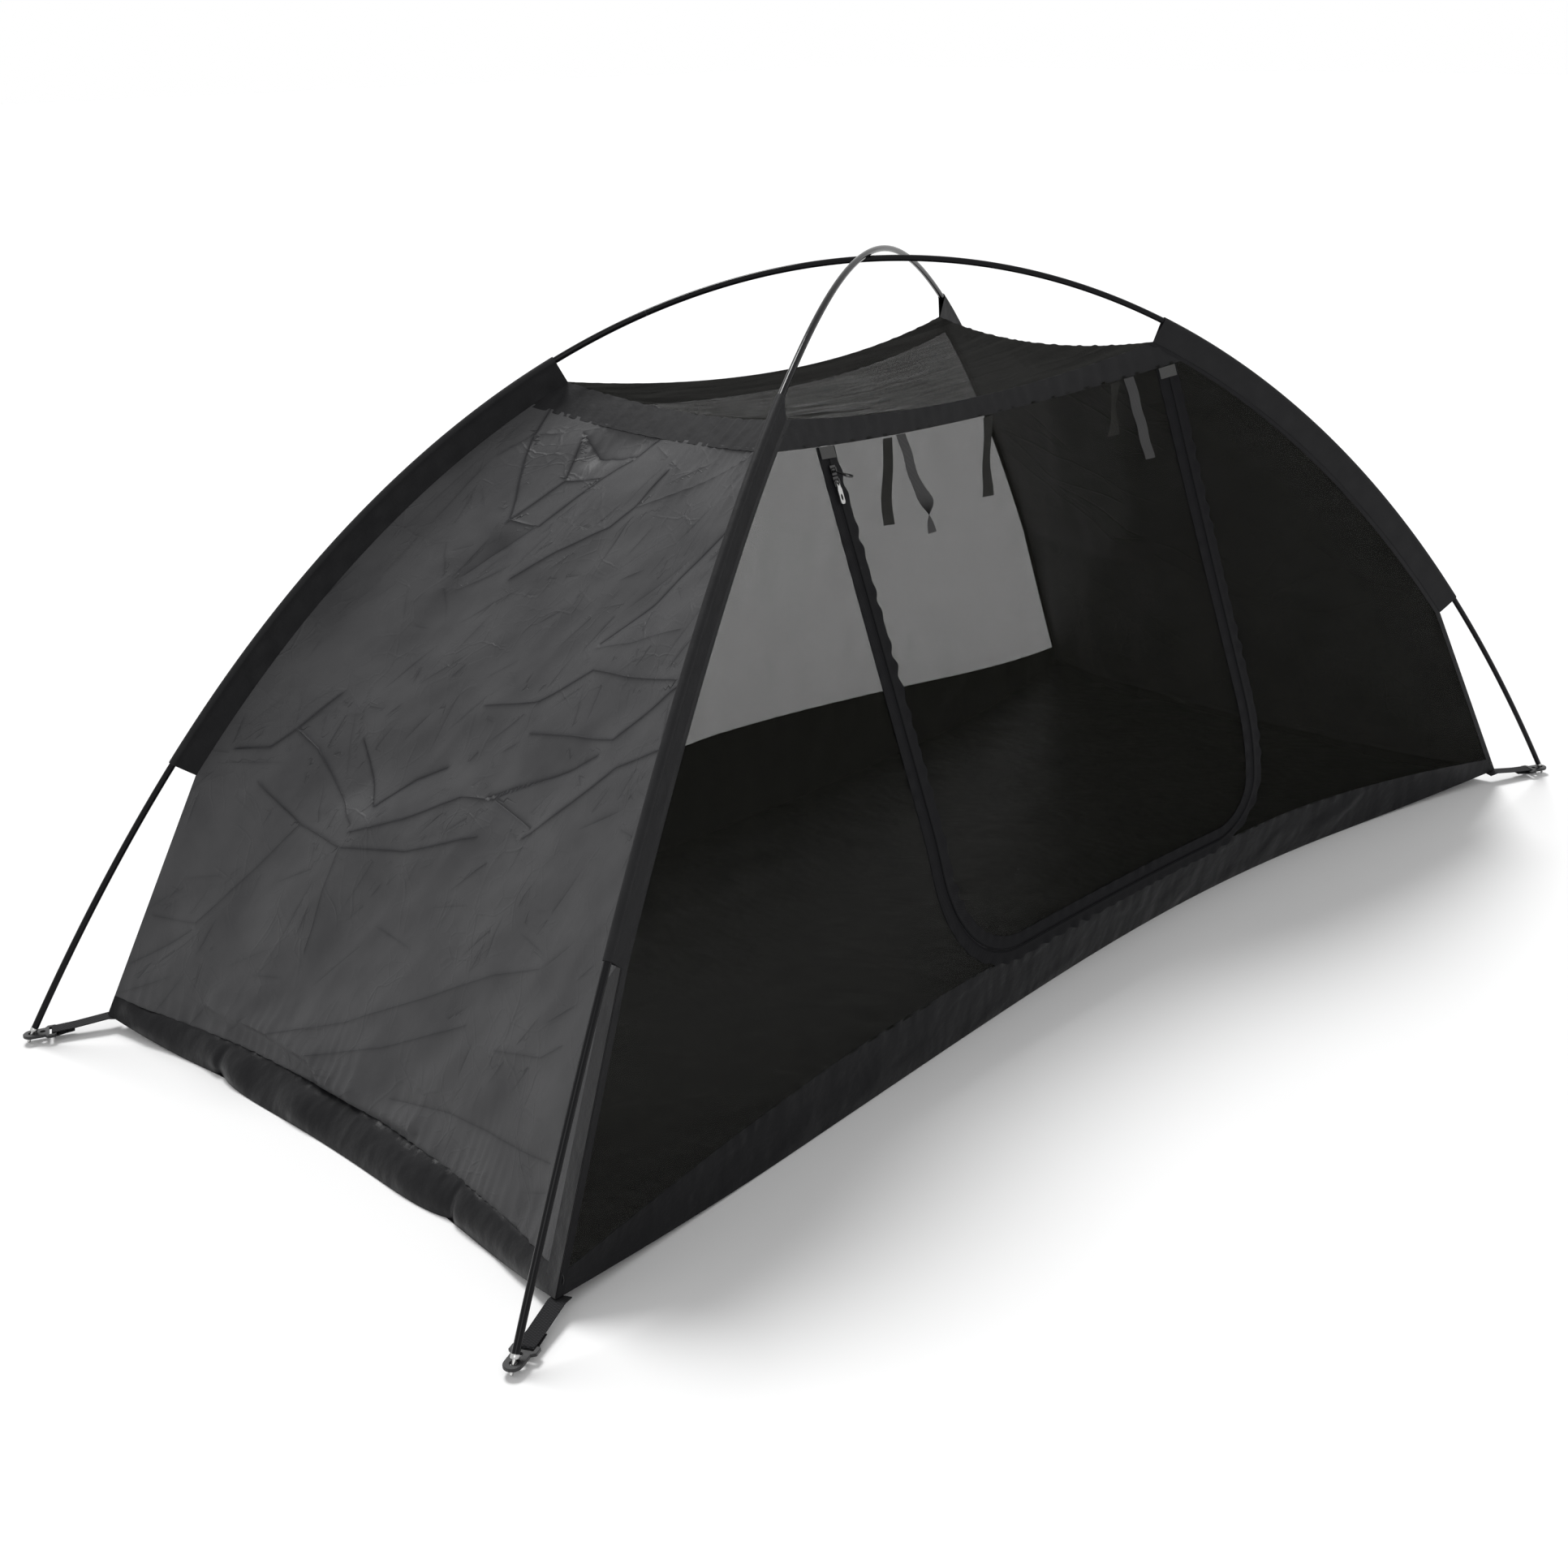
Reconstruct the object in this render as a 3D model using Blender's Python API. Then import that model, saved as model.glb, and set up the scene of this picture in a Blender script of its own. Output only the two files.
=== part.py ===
"""A one-person mosquito net tent: two crossed shock-corded poles carry a sewn cabin of net and polyester.

Length runs along X, the door faces -Y, and the tent stands on z = 0 with its middle over the origin.
"""
import math

import bmesh
import bpy
import numpy as np
from mathutils import Matrix, Vector

# Driving sizes, in metres
TIP_SPAN_LENGTH = 2.14
TIP_SPAN_WIDTH = 1.035
POLE_HEIGHT = 0.920
POLE_DIAMETER = 0.0085
CLOTH = 0.0008
SEAT_GAP = 0.0003
SEAM_GAP = 0.0008

# Pole line: how far it bows towards the long sides, and how full its arch is
PLAN_BOW_SHARES = (0.156, 0.059)
ARCH_FULLNESS_SHARE = 0.036
POLE_WALL = 0.00075
POLE_SECTIONS = 5
POLE_SIDES = 8
SPANS_PER_SECTION = 5
FERRULE_LENGTH = 0.080
FERRULE_WALL = 0.0007
CORD_DIAMETER = 0.0030
CORD_SIDES = 5
CURVE_SAMPLES = 801

# Pole tip and corner plate
PIN_LENGTH = 0.0172
PIN_RADIUS = 0.0020
PIN_NOSE = 0.0015
COLLAR_RADIUS = 0.0047
COLLAR_LENGTH = 0.0050
COLLAR_CHAMFER = 0.0006
SPIGOT_LENGTH = 0.012
PLATE_THICKNESS = 0.0040
PLATE_NOSE = 0.0105
PLATE_HALF_WIDTH = 0.0155
PLATE_EAR = 0.0035
PLATE_EDGE = 0.0006
PIN_HOLE_RADIUS = 0.0042
PEG_HOLE_RADIUS = 0.0036
PEG_HOLE_SETBACK = 0.0135
SLOT_SETBACK = 0.0235
SLOT_LENGTH = 0.0215
SLOT_WIDTH = 0.0048
BAR_WIDTH = 0.0040
CUT_OVERRUN = 0.002
HOLE_SIDES = 12

# Webbing strap
WEBBING_WIDTH = 0.0200
WEBBING_THICKNESS = 0.0013
WEBBING_SEWN = 0.014
WEBBING_DROP = 0.0038
WEBBING_TURN_BACK = 0.022

# Cabin corners, measured from the pole line
BASE_CORNER_INSET = 0.0995
BASE_CORNER_LIFT = 0.020
SLEEVE_MOUTH_SHARE = 0.798
SLEEVE_TOP_SHARE = 0.346
SLEEVE_DEPTH = 0.032
SLEEVE_HALF_SEAM = 0.0011
SLEEVE_ROUND_POINTS = 7
BINDING_WIDTH = 0.010
BINDING_THICKNESS = 0.0012
BINDING_ROOT = 0.0012
LIFT_START_SHARE = 0.62

# Long walls: the line of the zip's straight leg, and how the edges bow and dip
LEG_X = 0.2804 * TIP_SPAN_LENGTH / 2.0
LEG_TOP_Y = 0.3787 * TIP_SPAN_WIDTH / 2.0
LEG_TOP_Z = 0.8457 * POLE_HEIGHT
LEG_SLOPE_SHARE = 0.36
LEG_STRAIGHT_TO_Z = 0.3260 * POLE_HEIGHT
LEG_FOOT_Y = 0.7362 * TIP_SPAN_WIDTH / 2.0
LONG_ROOF_DIP = 0.030
FRONT_SKEW = 0.020
SKEW_HEIGHT = 0.2826 * POLE_HEIGHT
END_BASE_BOW = 0.040
END_FOOT_BULGE = 0.014
BULGE_REACH_SHARE = 0.5
END_ROOF_BOW = 0.018
END_ROOF_DIP = 0.018
END_WAIST_BOW = 0.030
STRIP_WIDTH = 0.028
SILL_MIDDLE = 0.078
SILL_CORNER = 0.024
BACK_SILL_MIDDLE = 0.142
BACK_SILL_CORNER = 0.037
END_SILL_MIDDLE = 0.038
SILL_FLAT_SHARE = 0.42
LOW_ROW_STEP = 0.022

# Door and zip
RIGHT_LEG_X = 0.3411 * TIP_SPAN_LENGTH / 2.0
LEFT_CORNER_RADIUS = 0.140
RIGHT_CORNER_RADIUS = 0.080
TAPE_WIDTH = 0.0145
TAPE_THICKNESS = 0.0010
COIL_WIDTH = 0.0026
COIL_HEIGHT = 0.0020
ZIP_GAP = 0.0016
NET_UNDER_TAPE = 0.007
TAPE_SEAT = 0.0005
CORNER_STEPS = 7
FOLD_DROP = 0.142
FOLD_GAP = 0.0009
PATCH_LENGTH = 0.013
PATCH_THICKNESS = 0.0006

# Zip sliders and pulls
SLIDER_LENGTH = 0.0120
SLIDER_WIDTH = 0.0106
SLIDER_NOSE_WIDTH = 0.0092
SLIDER_PLATE = 0.0010
SLIDER_SLOT = 0.0036
SLIDER_LIP = 0.0006
SLIDER_WEB = 0.0007
SLIDER_WEB_LENGTH = 0.0050
UPPER_SLIDER_DROP = 0.0260
SLIDER_SPACING = 0.0134
BRIDGE_RISE = 0.0030
BRIDGE_HALF_LENGTH = 0.0031
BRIDGE_BAR = 0.0012
BRIDGE_HALF_WIDTH = 0.0011
PULL_THICKNESS = 0.0012
PULL_CLEARANCE = 0.0005
PULL_PIVOT_RUN = 0.0007
PULL_END_HALF = 0.0007
PULL_EYE_LENGTH = 0.0037
PULL_EYE_HALF = 0.0015
PULL_HEAD_HALF = 0.0028
SILVER_PULL_LENGTH = 0.0270
SILVER_PULL_HALF = 0.0042
SILVER_HOLE_LENGTH = 0.0080
SILVER_HOLE_HALF = 0.0021
BLACK_PULL_LENGTH = 0.0270
BLACK_RING_HALF = 0.0060
BLACK_RING_HOLE = 0.0040
BLACK_PULL_ANGLE = 60.0
ROUND_STEPS = 6

# Tie ribbons: place along the strip, length and width
TIE_WIDTH = 0.0180
TIE_THICKNESS = 0.0008
TIE_ROWS = 5
INNER_TIE_SHARES = (-0.1589, 0.0280, 0.2570)
INNER_TIE_LENGTHS = (0.112, 0.108, 0.075)
OUTER_TIE_SHARES = (-0.1383, 0.2766)
OUTER_TIE_LENGTHS = (0.126, 0.108)

# Creases of the left end panel: start and end as shares of width and height, and depth
CREASE_SHARES = (
    ((-0.75, 0.30), (0.55, 0.62)),
    ((-0.90, 0.52), (0.30, 0.88)),
    ((-0.10, 0.30), (0.85, 0.20)),
    ((-0.60, 0.78), (0.70, 0.40)),
    ((0.20, 0.95), (0.75, 0.55)),
    ((-0.85, 0.12), (0.10, 0.42)),
)
CREASE_DEPTH = 0.0070
CREASE_WIDTH = 0.045
GATHER_DEPTH = 0.0035
GATHERS = 9
SILL_BILLOW = 0.010
SILL_PASSES = 3

QUADRANTS = {"back_left": (-1, 1), "front_left": (-1, -1), "front_right": (1, -1), "back_right": (1, 1)}


def clear_scene():
    """Removes whatever the file holds."""
    for item in list(bpy.data.objects):
        bpy.data.objects.remove(item, do_unlink=True)


def make_material(name, colour, roughness, metallic=0.0):
    """A Principled material of one colour."""
    material = bpy.data.materials.new(name)
    material.use_nodes = True
    shader = material.node_tree.nodes["Principled BSDF"]
    shader.inputs["Base Color"].default_value = (*colour, 1.0)
    shader.inputs["Roughness"].default_value = roughness
    shader.inputs["Metallic"].default_value = metallic
    material.diffuse_color = (*colour, 1.0)
    return material


clear_scene()
MATERIALS = {
    "pole": make_material("pole_black", (0.012, 0.012, 0.013), 0.25, 0.8),
    "bright": make_material("bright_metal", (0.60, 0.60, 0.60), 0.25, 1.0),
    "plastic": make_material("black_plastic", (0.012, 0.012, 0.013), 0.38),
    "webbing": make_material("black_webbing", (0.015, 0.015, 0.016), 0.85),
    "polyester": make_material("grey_polyester", (0.052, 0.052, 0.054), 0.62),
    "groundsheet": make_material("black_groundsheet", (0.014, 0.014, 0.015), 0.45),
    "net": make_material("mosquito_net", (0.13, 0.13, 0.125), 0.8),
    "tape": make_material("zip_tape", (0.012, 0.012, 0.013), 0.75),
    "ribbon": make_material("tie_ribbon", (0.06, 0.06, 0.06), 0.85),
    "cord": make_material("shock_cord", (0.5, 0.5, 0.48), 0.8),
}


def add_object(name, mesh, material, smooth=True):
    """Puts a mesh into the scene under its piece's name."""
    item = bpy.data.objects.new(name, mesh)
    bpy.context.scene.collection.objects.link(item)
    mesh.materials.clear()
    mesh.materials.append(MATERIALS[material])
    if smooth:
        mesh.shade_smooth()
        mesh.set_sharp_from_angle(angle=math.radians(40.0))
    return item


def mesh_from(name, points, faces):
    """A mesh whose faces all point outwards."""
    mesh = bpy.data.meshes.new(name)
    mesh.from_pydata([tuple(float(value) for value in point) for point in points], [], faces)
    shape = bmesh.new()
    shape.from_mesh(mesh)
    bmesh.ops.recalc_face_normals(shape, faces=shape.faces)
    shape.to_mesh(mesh)
    shape.free()
    return mesh


def grid_faces(rows, columns):
    """Triangles between neighbouring rows of a grid, every cell split the same way."""
    faces = []
    for row in range(rows - 1):
        for column in range(columns - 1):
            corner = row * columns + column
            faces.append((corner, corner + 1, corner + columns + 1))
            faces.append((corner, corner + columns + 1, corner + columns))
    return faces


def normals_of(grid):
    """Unit normals of a surface grid."""
    down = np.gradient(grid, axis=0)
    across = np.gradient(grid, axis=1)
    return unit(np.cross(across, down))


def thick_shape(grid, thickness):
    """Points and faces of a surface grid given half its thickness to either side."""
    grid = np.asarray(grid, dtype=float)
    rows, columns = grid.shape[:2]
    step = normals_of(grid) * (thickness / 2.0)
    count = rows * columns
    points = np.concatenate([(grid + step).reshape(-1, 3), (grid - step).reshape(-1, 3)])
    front = grid_faces(rows, columns)
    faces = front + [tuple(index + count for index in reversed(face)) for face in front]
    rim = [*range(columns), *range(2 * columns - 1, count, columns)]
    rim += [*range(count - 2, count - columns - 1, -1), *range(count - 2 * columns, 0, -columns)]
    for index, corner in enumerate(rim):
        after = rim[(index + 1) % len(rim)]
        faces.append((corner, after, after + count, corner + count))
    return points, faces


def sheet(name, grid, material, thickness=CLOTH):
    """A sewn panel: a surface given as rows of points, made solid by its cloth's thickness."""
    return add_object(name, mesh_from(name, *thick_shape(grid, thickness)), material)


def combine(item, others, operation):
    """Joins other solids to a piece, or cuts them out of it, and lets them go."""
    for other in others:
        change = item.modifiers.new("joint", "BOOLEAN")
        change.operation = operation
        change.solver = "EXACT"
        change.object = other
        graph = bpy.context.evaluated_depsgraph_get()
        shape = bpy.data.meshes.new_from_object(item.evaluated_get(graph))
        item.modifiers.remove(change)
        item.data = shape
        bpy.data.objects.remove(other, do_unlink=True)
    return item


def slab(name, outline, low, high, place, material):
    """A flat piece: an outline given the thickness from low to high, in the axes of its place."""
    loops = [[place @ Vector((first, second, level)) for first, second in outline] for level in (low, high)]
    return add_object(name, mesh_from(name, *loft(loops)), material)


def disc(radius, sides, centre=(0.0, 0.0)):
    """The corners of a round outline."""
    angles = [2.0 * math.pi * step / sides for step in range(sides)]
    return [(centre[0] + radius * math.cos(angle), centre[1] + radius * math.sin(angle)) for angle in angles]


def place_of(origin, first, second, third):
    """A placement whose axes are three given directions."""
    columns = [Vector(axis) for axis in (first, second, third)]
    turn = Matrix((columns[0], columns[1], columns[2])).transposed()
    return Matrix.Translation(Vector(origin)) @ turn.to_4x4()


def set_origin(item, pivot):
    """Moves an object's origin onto its joint without moving the piece."""
    item.data.transform(Matrix.Translation(-Vector(pivot)))
    item.location = pivot


def loft(loops, closed_ends=True):
    """Points and faces of a skin over rings of equal count, with its ends capped."""
    rings = len(loops)
    count = len(loops[0])
    points = [point for ring in loops for point in ring]
    faces = []
    for ring in range(rings - 1):
        for side in range(count):
            after = (side + 1) % count
            low, high = ring * count, (ring + 1) * count
            faces.append((low + side, low + after, high + after, high + side))
    if closed_ends:
        faces.append(tuple(range(count)))
        faces.append(tuple(range((rings - 1) * count, rings * count)))
    return points, faces


def pipe(outer_loops, inner_loops):
    """Points and faces of a wall between an outer and an inner skin, open at both ends."""
    count = len(outer_loops[0])
    outer, outer_faces = loft(outer_loops, closed_ends=False)
    inner, inner_faces = loft(inner_loops, closed_ends=False)
    shift = len(outer)
    faces = outer_faces + [tuple(index + shift for index in face) for face in inner_faces]
    for base, inner_base in ((0, shift), (shift - count, shift + len(inner) - count)):
        for side in range(count):
            after = (side + 1) % count
            faces.append((base + side, base + after, inner_base + after, inner_base + side))
    return outer + inner, faces


def unit(vector):
    """A vector's direction."""
    vector = np.asarray(vector, dtype=float)
    return vector / np.linalg.norm(vector, axis=-1, keepdims=True)


# Pole lines
POLE_RADIUS = POLE_DIAMETER / 2.0
POLE_BORE = POLE_RADIUS - POLE_WALL
SPIGOT_RADIUS = POLE_BORE - SEAT_GAP
HALF_LENGTH = TIP_SPAN_LENGTH / 2.0
HALF_WIDTH = TIP_SPAN_WIDTH / 2.0
CROSSING_RISE = POLE_DIAMETER + SEAT_GAP
TIP_SHOULDER = PIN_LENGTH + COLLAR_LENGTH


def pole_line(reach, side, rise):
    """The pole's line: a full arch over a diagonal that bows outwards; reach runs from -1 to 1."""
    reach = np.asarray(reach, dtype=float)
    shoulder = 1.0 - reach ** 2
    bow = 1.0 + PLAN_BOW_SHARES[0] * shoulder + PLAN_BOW_SHARES[1] * shoulder ** 2
    height = POLE_HEIGHT * shoulder * (1.0 + ARCH_FULLNESS_SHARE * reach ** 2)
    over = np.maximum(0.0, 1.0 - (reach / SLEEVE_TOP_SHARE) ** 2) ** 2
    return np.stack([HALF_LENGTH * reach, side * HALF_WIDTH * reach * bow, height + rise * over], axis=-1)


class Pole:
    """One long pole, with every ring station that its pieces share."""

    def __init__(self, side, rise):
        self.reach = np.linspace(-1.0, 1.0, CURVE_SAMPLES)
        self.line = pole_line(self.reach, side, rise)
        steps = np.linalg.norm(np.diff(self.line, axis=0), axis=1)
        self.length = np.concatenate([[0.0], np.cumsum(steps)])
        self.total = self.length[-1]
        self.start = TIP_SHOULDER + SEAT_GAP
        self.section = (self.total - self.start - self.start) / POLE_SECTIONS
        self.rings = self.stations()

    def at(self, run):
        """The point a run of pole away from the left-hand pin."""
        return np.stack([np.interp(run, self.length, self.line[:, axis]) for axis in range(3)], axis=-1)

    def stations(self):
        """Runs at which every tube, ferrule, sleeve and cord has a ring, so that their chords agree."""
        half = FERRULE_LENGTH / 2.0
        runs = [TIP_SHOULDER, self.total - TIP_SHOULDER]
        for number in range(POLE_SECTIONS):
            low = self.start + number * self.section
            high = low + self.section
            runs += [low, *np.linspace(low + half, high - half, SPANS_PER_SECTION), high]
        return np.unique(np.round(runs, 9))

    def chord(self, run):
        """A point on the straight chords between the shared rings."""
        points = self.at(self.rings)
        return np.stack([np.interp(run, self.rings, points[:, axis]) for axis in range(3)], axis=-1)

    def runs_between(self, low, high):
        """The shared rings inside a stretch, with the stretch's own ends."""
        inside = [run for run in self.rings if low + CORD_DIAMETER < run < high - CORD_DIAMETER]
        return np.array([low, *inside, high])

    def frames(self, runs):
        """Each ring's place, its direction along the pole, its side and its inward direction."""
        centres = self.chord(runs)
        before = self.at(np.maximum(runs - POLE_DIAMETER, 0.0))
        along = unit(self.at(np.minimum(runs + POLE_DIAMETER, self.total)) - before)
        side = unit(np.cross(along, (0.0, 0.0, 1.0)))
        return centres, along, side, unit(np.cross(along, side))

    def run_at(self, reach):
        """The run of pole at which the line has come so far along the tent."""
        return float(np.interp(reach, self.reach, self.length))


POLES = {"pole_1": Pole(-1.0, 0.0), "pole_2": Pole(1.0, CROSSING_RISE)}


def round_loops(pole, runs, radii, sides):
    """Rings round the pole's chords, each with its own radius."""
    centres, along, side, inward = pole.frames(np.asarray(runs))
    loops = []
    for index, radius in enumerate(np.broadcast_to(radii, len(runs))):
        loop = []
        for step in range(sides):
            angle = 2.0 * math.pi * step / sides
            spoke = math.cos(angle) * side[index] + math.sin(angle) * inward[index]
            loop.append(centres[index] + radius * spoke)
        loops.append(loop)
    return loops


def stepped(low_runs, high_runs, low_radius, high_radius):
    """Two stretches of rings that meet in a shoulder."""
    runs = [*low_runs, *high_runs]
    return runs, [low_radius] * len(low_runs) + [high_radius] * len(high_runs)


def build_pole(name, pole):
    """Tube sections with their pressed-in ferrules, the elastic cord inside and the two end tips."""
    half = FERRULE_LENGTH / 2.0
    for number in range(POLE_SECTIONS):
        low = pole.start + number * pole.section
        high = low + pole.section
        piece = f"{name}_section_{number + 1}"
        if number < POLE_SECTIONS - 1:
            shoulder = high - SEAT_GAP
            outer = stepped(pole.runs_between(low, shoulder), pole.runs_between(shoulder, high + half),
                            POLE_RADIUS, SPIGOT_RADIUS)
            inner = stepped(pole.runs_between(low, high - half), pole.runs_between(high - half, high + half),
                            POLE_BORE, SPIGOT_RADIUS - FERRULE_WALL)
        else:
            outer = pole.runs_between(low, high), POLE_RADIUS
            inner = pole.runs_between(low, high), POLE_BORE
        shape = pipe(round_loops(pole, *outer, POLE_SIDES), round_loops(pole, *inner, POLE_SIDES))
        add_object(piece, mesh_from(piece, *shape), "pole")
    cord = f"{name}_shock_cord"
    ends = pole.start + SPIGOT_LENGTH + SEAT_GAP
    cord_loops = round_loops(pole, pole.runs_between(ends, pole.total - ends), CORD_DIAMETER / 2.0, CORD_SIDES)
    add_object(cord, mesh_from(cord, *loft(cord_loops)), "cord")


def tip_axis(pole, end, direction):
    """The point where a pole's tip starts its spigot, and the tip's direction up the pole."""
    base = pole.chord(end + direction * TIP_SHOULDER)
    return base, unit(pole.chord(end + direction * (TIP_SHOULDER + SPIGOT_LENGTH)) - base)


def build_tip(name, pole, end, direction):
    """A turned tip: thin pin, collar that stands on the plate, and spigot that plugs the tube."""
    shoulder = PIN_LENGTH
    base, axis = tip_axis(pole, end, direction)
    foot = PIN_RADIUS / 2.0 * math.hypot(axis[0], axis[1]) / axis[2]
    profile = (
        (foot, PIN_RADIUS / 2.0),
        (PIN_NOSE, PIN_RADIUS),
        (shoulder, PIN_RADIUS),
        (shoulder, COLLAR_RADIUS - COLLAR_CHAMFER),
        (shoulder + COLLAR_CHAMFER, COLLAR_RADIUS),
        (TIP_SHOULDER - COLLAR_CHAMFER, COLLAR_RADIUS),
        (TIP_SHOULDER, POLE_RADIUS - COLLAR_CHAMFER),
        (TIP_SHOULDER, SPIGOT_RADIUS),
        (TIP_SHOULDER + SPIGOT_LENGTH, SPIGOT_RADIUS),
    )
    side = unit(np.cross(axis, (0.0, 0.0, 1.0)))
    over = np.cross(axis, side)
    loops = []
    for run, radius in profile:
        centre = base + axis * (run - TIP_SHOULDER)
        loop = []
        for step in range(POLE_SIDES):
            angle = 2.0 * math.pi * step / POLE_SIDES
            loop.append(centre + radius * (math.cos(angle) * side + math.sin(angle) * over))
        loops.append(loop)
    add_object(name, mesh_from(name, *loft(loops)), "bright")


def pole_end(x_sign, y_sign):
    """The pole that stands in a corner, the run of its pin and the direction up the pole."""
    pole = POLES["pole_2"] if x_sign == y_sign else POLES["pole_1"]
    return (pole, 0.0, 1.0) if x_sign < 0 else (pole, pole.total, -1.0)


# Cabin edge: where the walls meet below each pole


def corner_edge():
    """The cabin's edge in the back right quarter: base corner, sleeve mouth, then along the sleeve's seam."""
    pole = POLES["pole_2"]
    runs = pole.runs_between(pole.run_at(SLEEVE_TOP_SHARE), pole.run_at(SLEEVE_MOUTH_SHARE))[::-1]
    centres, along, side, inward = pole.frames(runs)
    base = np.array([HALF_LENGTH, HALF_WIDTH, 0.0])
    base -= BASE_CORNER_INSET * unit(base)
    base[2] = BASE_CORNER_LIFT
    return np.vstack([base, centres + SLEEVE_DEPTH * inward])


EDGE = corner_edge()
BASE_X, BASE_Y, BASE_Z = EDGE[0]
ROOF_X, ROOF_Y, ROOF_Z = EDGE[-1]
WALL_RISE = ROOF_Z - BASE_Z
STRIP_HEIGHT = WALL_RISE - STRIP_WIDTH
FOLD_HEIGHT = STRIP_HEIGHT - FOLD_DROP
EDGE_HEIGHTS = EDGE[:, 2] - BASE_Z
CORNER_GAP = SEAM_GAP + SEAM_GAP


def edge_at(height):
    """The corner edge at a height above the base corner."""
    level = BASE_Z + np.asarray(height, dtype=float)
    return np.interp(level, EDGE[:, 2], EDGE[:, 0]), np.interp(level, EDGE[:, 2], EDGE[:, 1]), level


def raised(share):
    """How much of the corner's lift a base edge has at a share of its half length."""
    ramp = np.maximum(0.0, (np.abs(share) - LIFT_START_SHARE) / (1.0 - LIFT_START_SHARE))
    return ramp ** 2


def leg_depth(level):
    """How far from the middle plane the straight zip leg runs, and the wall's foot below it."""
    line = LEG_TOP_Y + LEG_SLOPE_SHARE * (LEG_TOP_Z - level)
    knee = LEG_TOP_Y + LEG_SLOPE_SHARE * (LEG_TOP_Z - LEG_STRAIGHT_TO_Z)
    fall = LEG_STRAIGHT_TO_Z - level
    bend = (knee + LEG_SLOPE_SHARE * LEG_STRAIGHT_TO_Z - LEG_FOOT_Y) / LEG_STRAIGHT_TO_Z ** 2
    return np.where(level > LEG_STRAIGHT_TO_Z, line, knee + LEG_SLOPE_SHARE * fall - bend * fall ** 2)


def wall_dip(height, share, roof_dip):
    """How far a wall hangs below the straight line between its two edges."""
    rise = height / WALL_RISE
    low = (1.0 - rise) ** 4 * BASE_Z * (1.0 - raised(share))
    return low + rise ** 2 * roof_dip * (1.0 - share ** 2)


def long_wall(x, height, skew=0.0):
    """A point of the back wall; the front wall is its mirror image, its foot skewed out on the left."""
    x, height = np.broadcast_arrays(np.asarray(x, dtype=float), np.asarray(height, dtype=float))
    edge_x, edge_y, level = edge_at(height)
    leg_share = LEG_X / edge_x
    leg_level = level - wall_dip(height, leg_share, LONG_ROOF_DIP)
    bow = (edge_y - leg_depth(leg_level)) / (1.0 - leg_share ** 2)
    share = x / edge_x
    depth = edge_y - bow * (1.0 - share ** 2)
    depth = depth - skew * np.sin(math.pi * share) * np.maximum(0.0, 1.0 - height / SKEW_HEIGHT) ** 2
    return np.stack([x, depth, level - wall_dip(height, share, LONG_ROOF_DIP)], axis=-1)


def end_wall(y, height):
    """A point of the right end wall; the left one is its mirror image."""
    y, height = np.broadcast_arrays(np.asarray(y, dtype=float), np.asarray(height, dtype=float))
    edge_x, edge_y, level = edge_at(height)
    rise = height / WALL_RISE
    bow = END_BASE_BOW + (END_ROOF_BOW - END_BASE_BOW) * rise + 4.0 * END_WAIST_BOW * rise * (1.0 - rise)
    share = y / edge_y
    reach = edge_x - bow * (1.0 - share ** 2)
    return np.stack([reach, y, level - wall_dip(height, share, END_ROOF_DIP)], axis=-1)


def front_wall(x, height, out=0.0):
    """A point of the front wall, moved out from the cloth by a distance."""
    step = POLE_DIAMETER / 2.0
    point = long_wall(x, height, FRONT_SKEW)
    across = long_wall(np.asarray(x) + step, height, FRONT_SKEW) - point
    up = long_wall(x, np.asarray(height) + step, FRONT_SKEW) - point
    outward = unit(np.cross(up, across))
    return mirrored(point + outward * np.asarray(out)[..., None], 1.0, -1.0)


def sill_height(share, middle):
    """The height of a tub wall's top edge: level across the middle and low at the corners."""
    ramp = np.maximum(0.0, (np.abs(share) - SILL_FLAT_SHARE) / (1.0 - SILL_FLAT_SHARE))
    return SILL_CORNER + (middle - SILL_CORNER) * (1.0 - ramp ** 2)


def back_sill(share):
    """The height of the back tub wall's top edge, which falls all the way from its middle to the corners."""
    return BACK_SILL_CORNER + (BACK_SILL_MIDDLE - BACK_SILL_CORNER) * (1.0 - np.abs(share) ** 1.5)


def foot_bulge(share):
    """How far the end walls' feet belly out between the seams near their corners."""
    return END_FOOT_BULGE * np.maximum(0.0, 1.0 - (share / BULGE_REACH_SHARE) ** 6)


def mirrored(grid, x_sign, y_sign):
    """A grid turned over into another quarter of the tent."""
    return np.asarray(grid) * np.array([x_sign, y_sign, 1.0])


def row_shares(low):
    """Shares of a wall's height for its rows, with a row at every bend of the cabin's edge."""
    bends = [height for height in EDGE_HEIGHTS if low < height < STRIP_HEIGHT]
    count = int((bends[0] - low) / LOW_ROW_STEP)
    rows = [*np.linspace(low, bends[0], count + 1), *bends[1:], STRIP_HEIGHT - SEAM_GAP]
    return (np.unique(np.round(rows, 9)) - low) / (STRIP_HEIGHT - SEAM_GAP - low)


# Base: groundsheet and the low tub walls


def build_groundsheet():
    """One cloth on the ground, its sides drawn in and its corners lifted to the straps."""
    across, up = np.meshgrid(np.linspace(-1.0, 1.0, 29), np.linspace(-1.0, 1.0, 13))
    foot = long_wall(across * BASE_X, np.zeros_like(across), FRONT_SKEW * (up < 0.0))[..., 1]
    x = across * (BASE_X - END_BASE_BOW * (1.0 - up ** 2) + foot_bulge(up))
    lift = BASE_Z * raised(across) * raised(up)
    sheet("groundsheet", np.stack([x, up * foot, lift + CLOTH / 2.0], axis=-1), "groundsheet")


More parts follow.
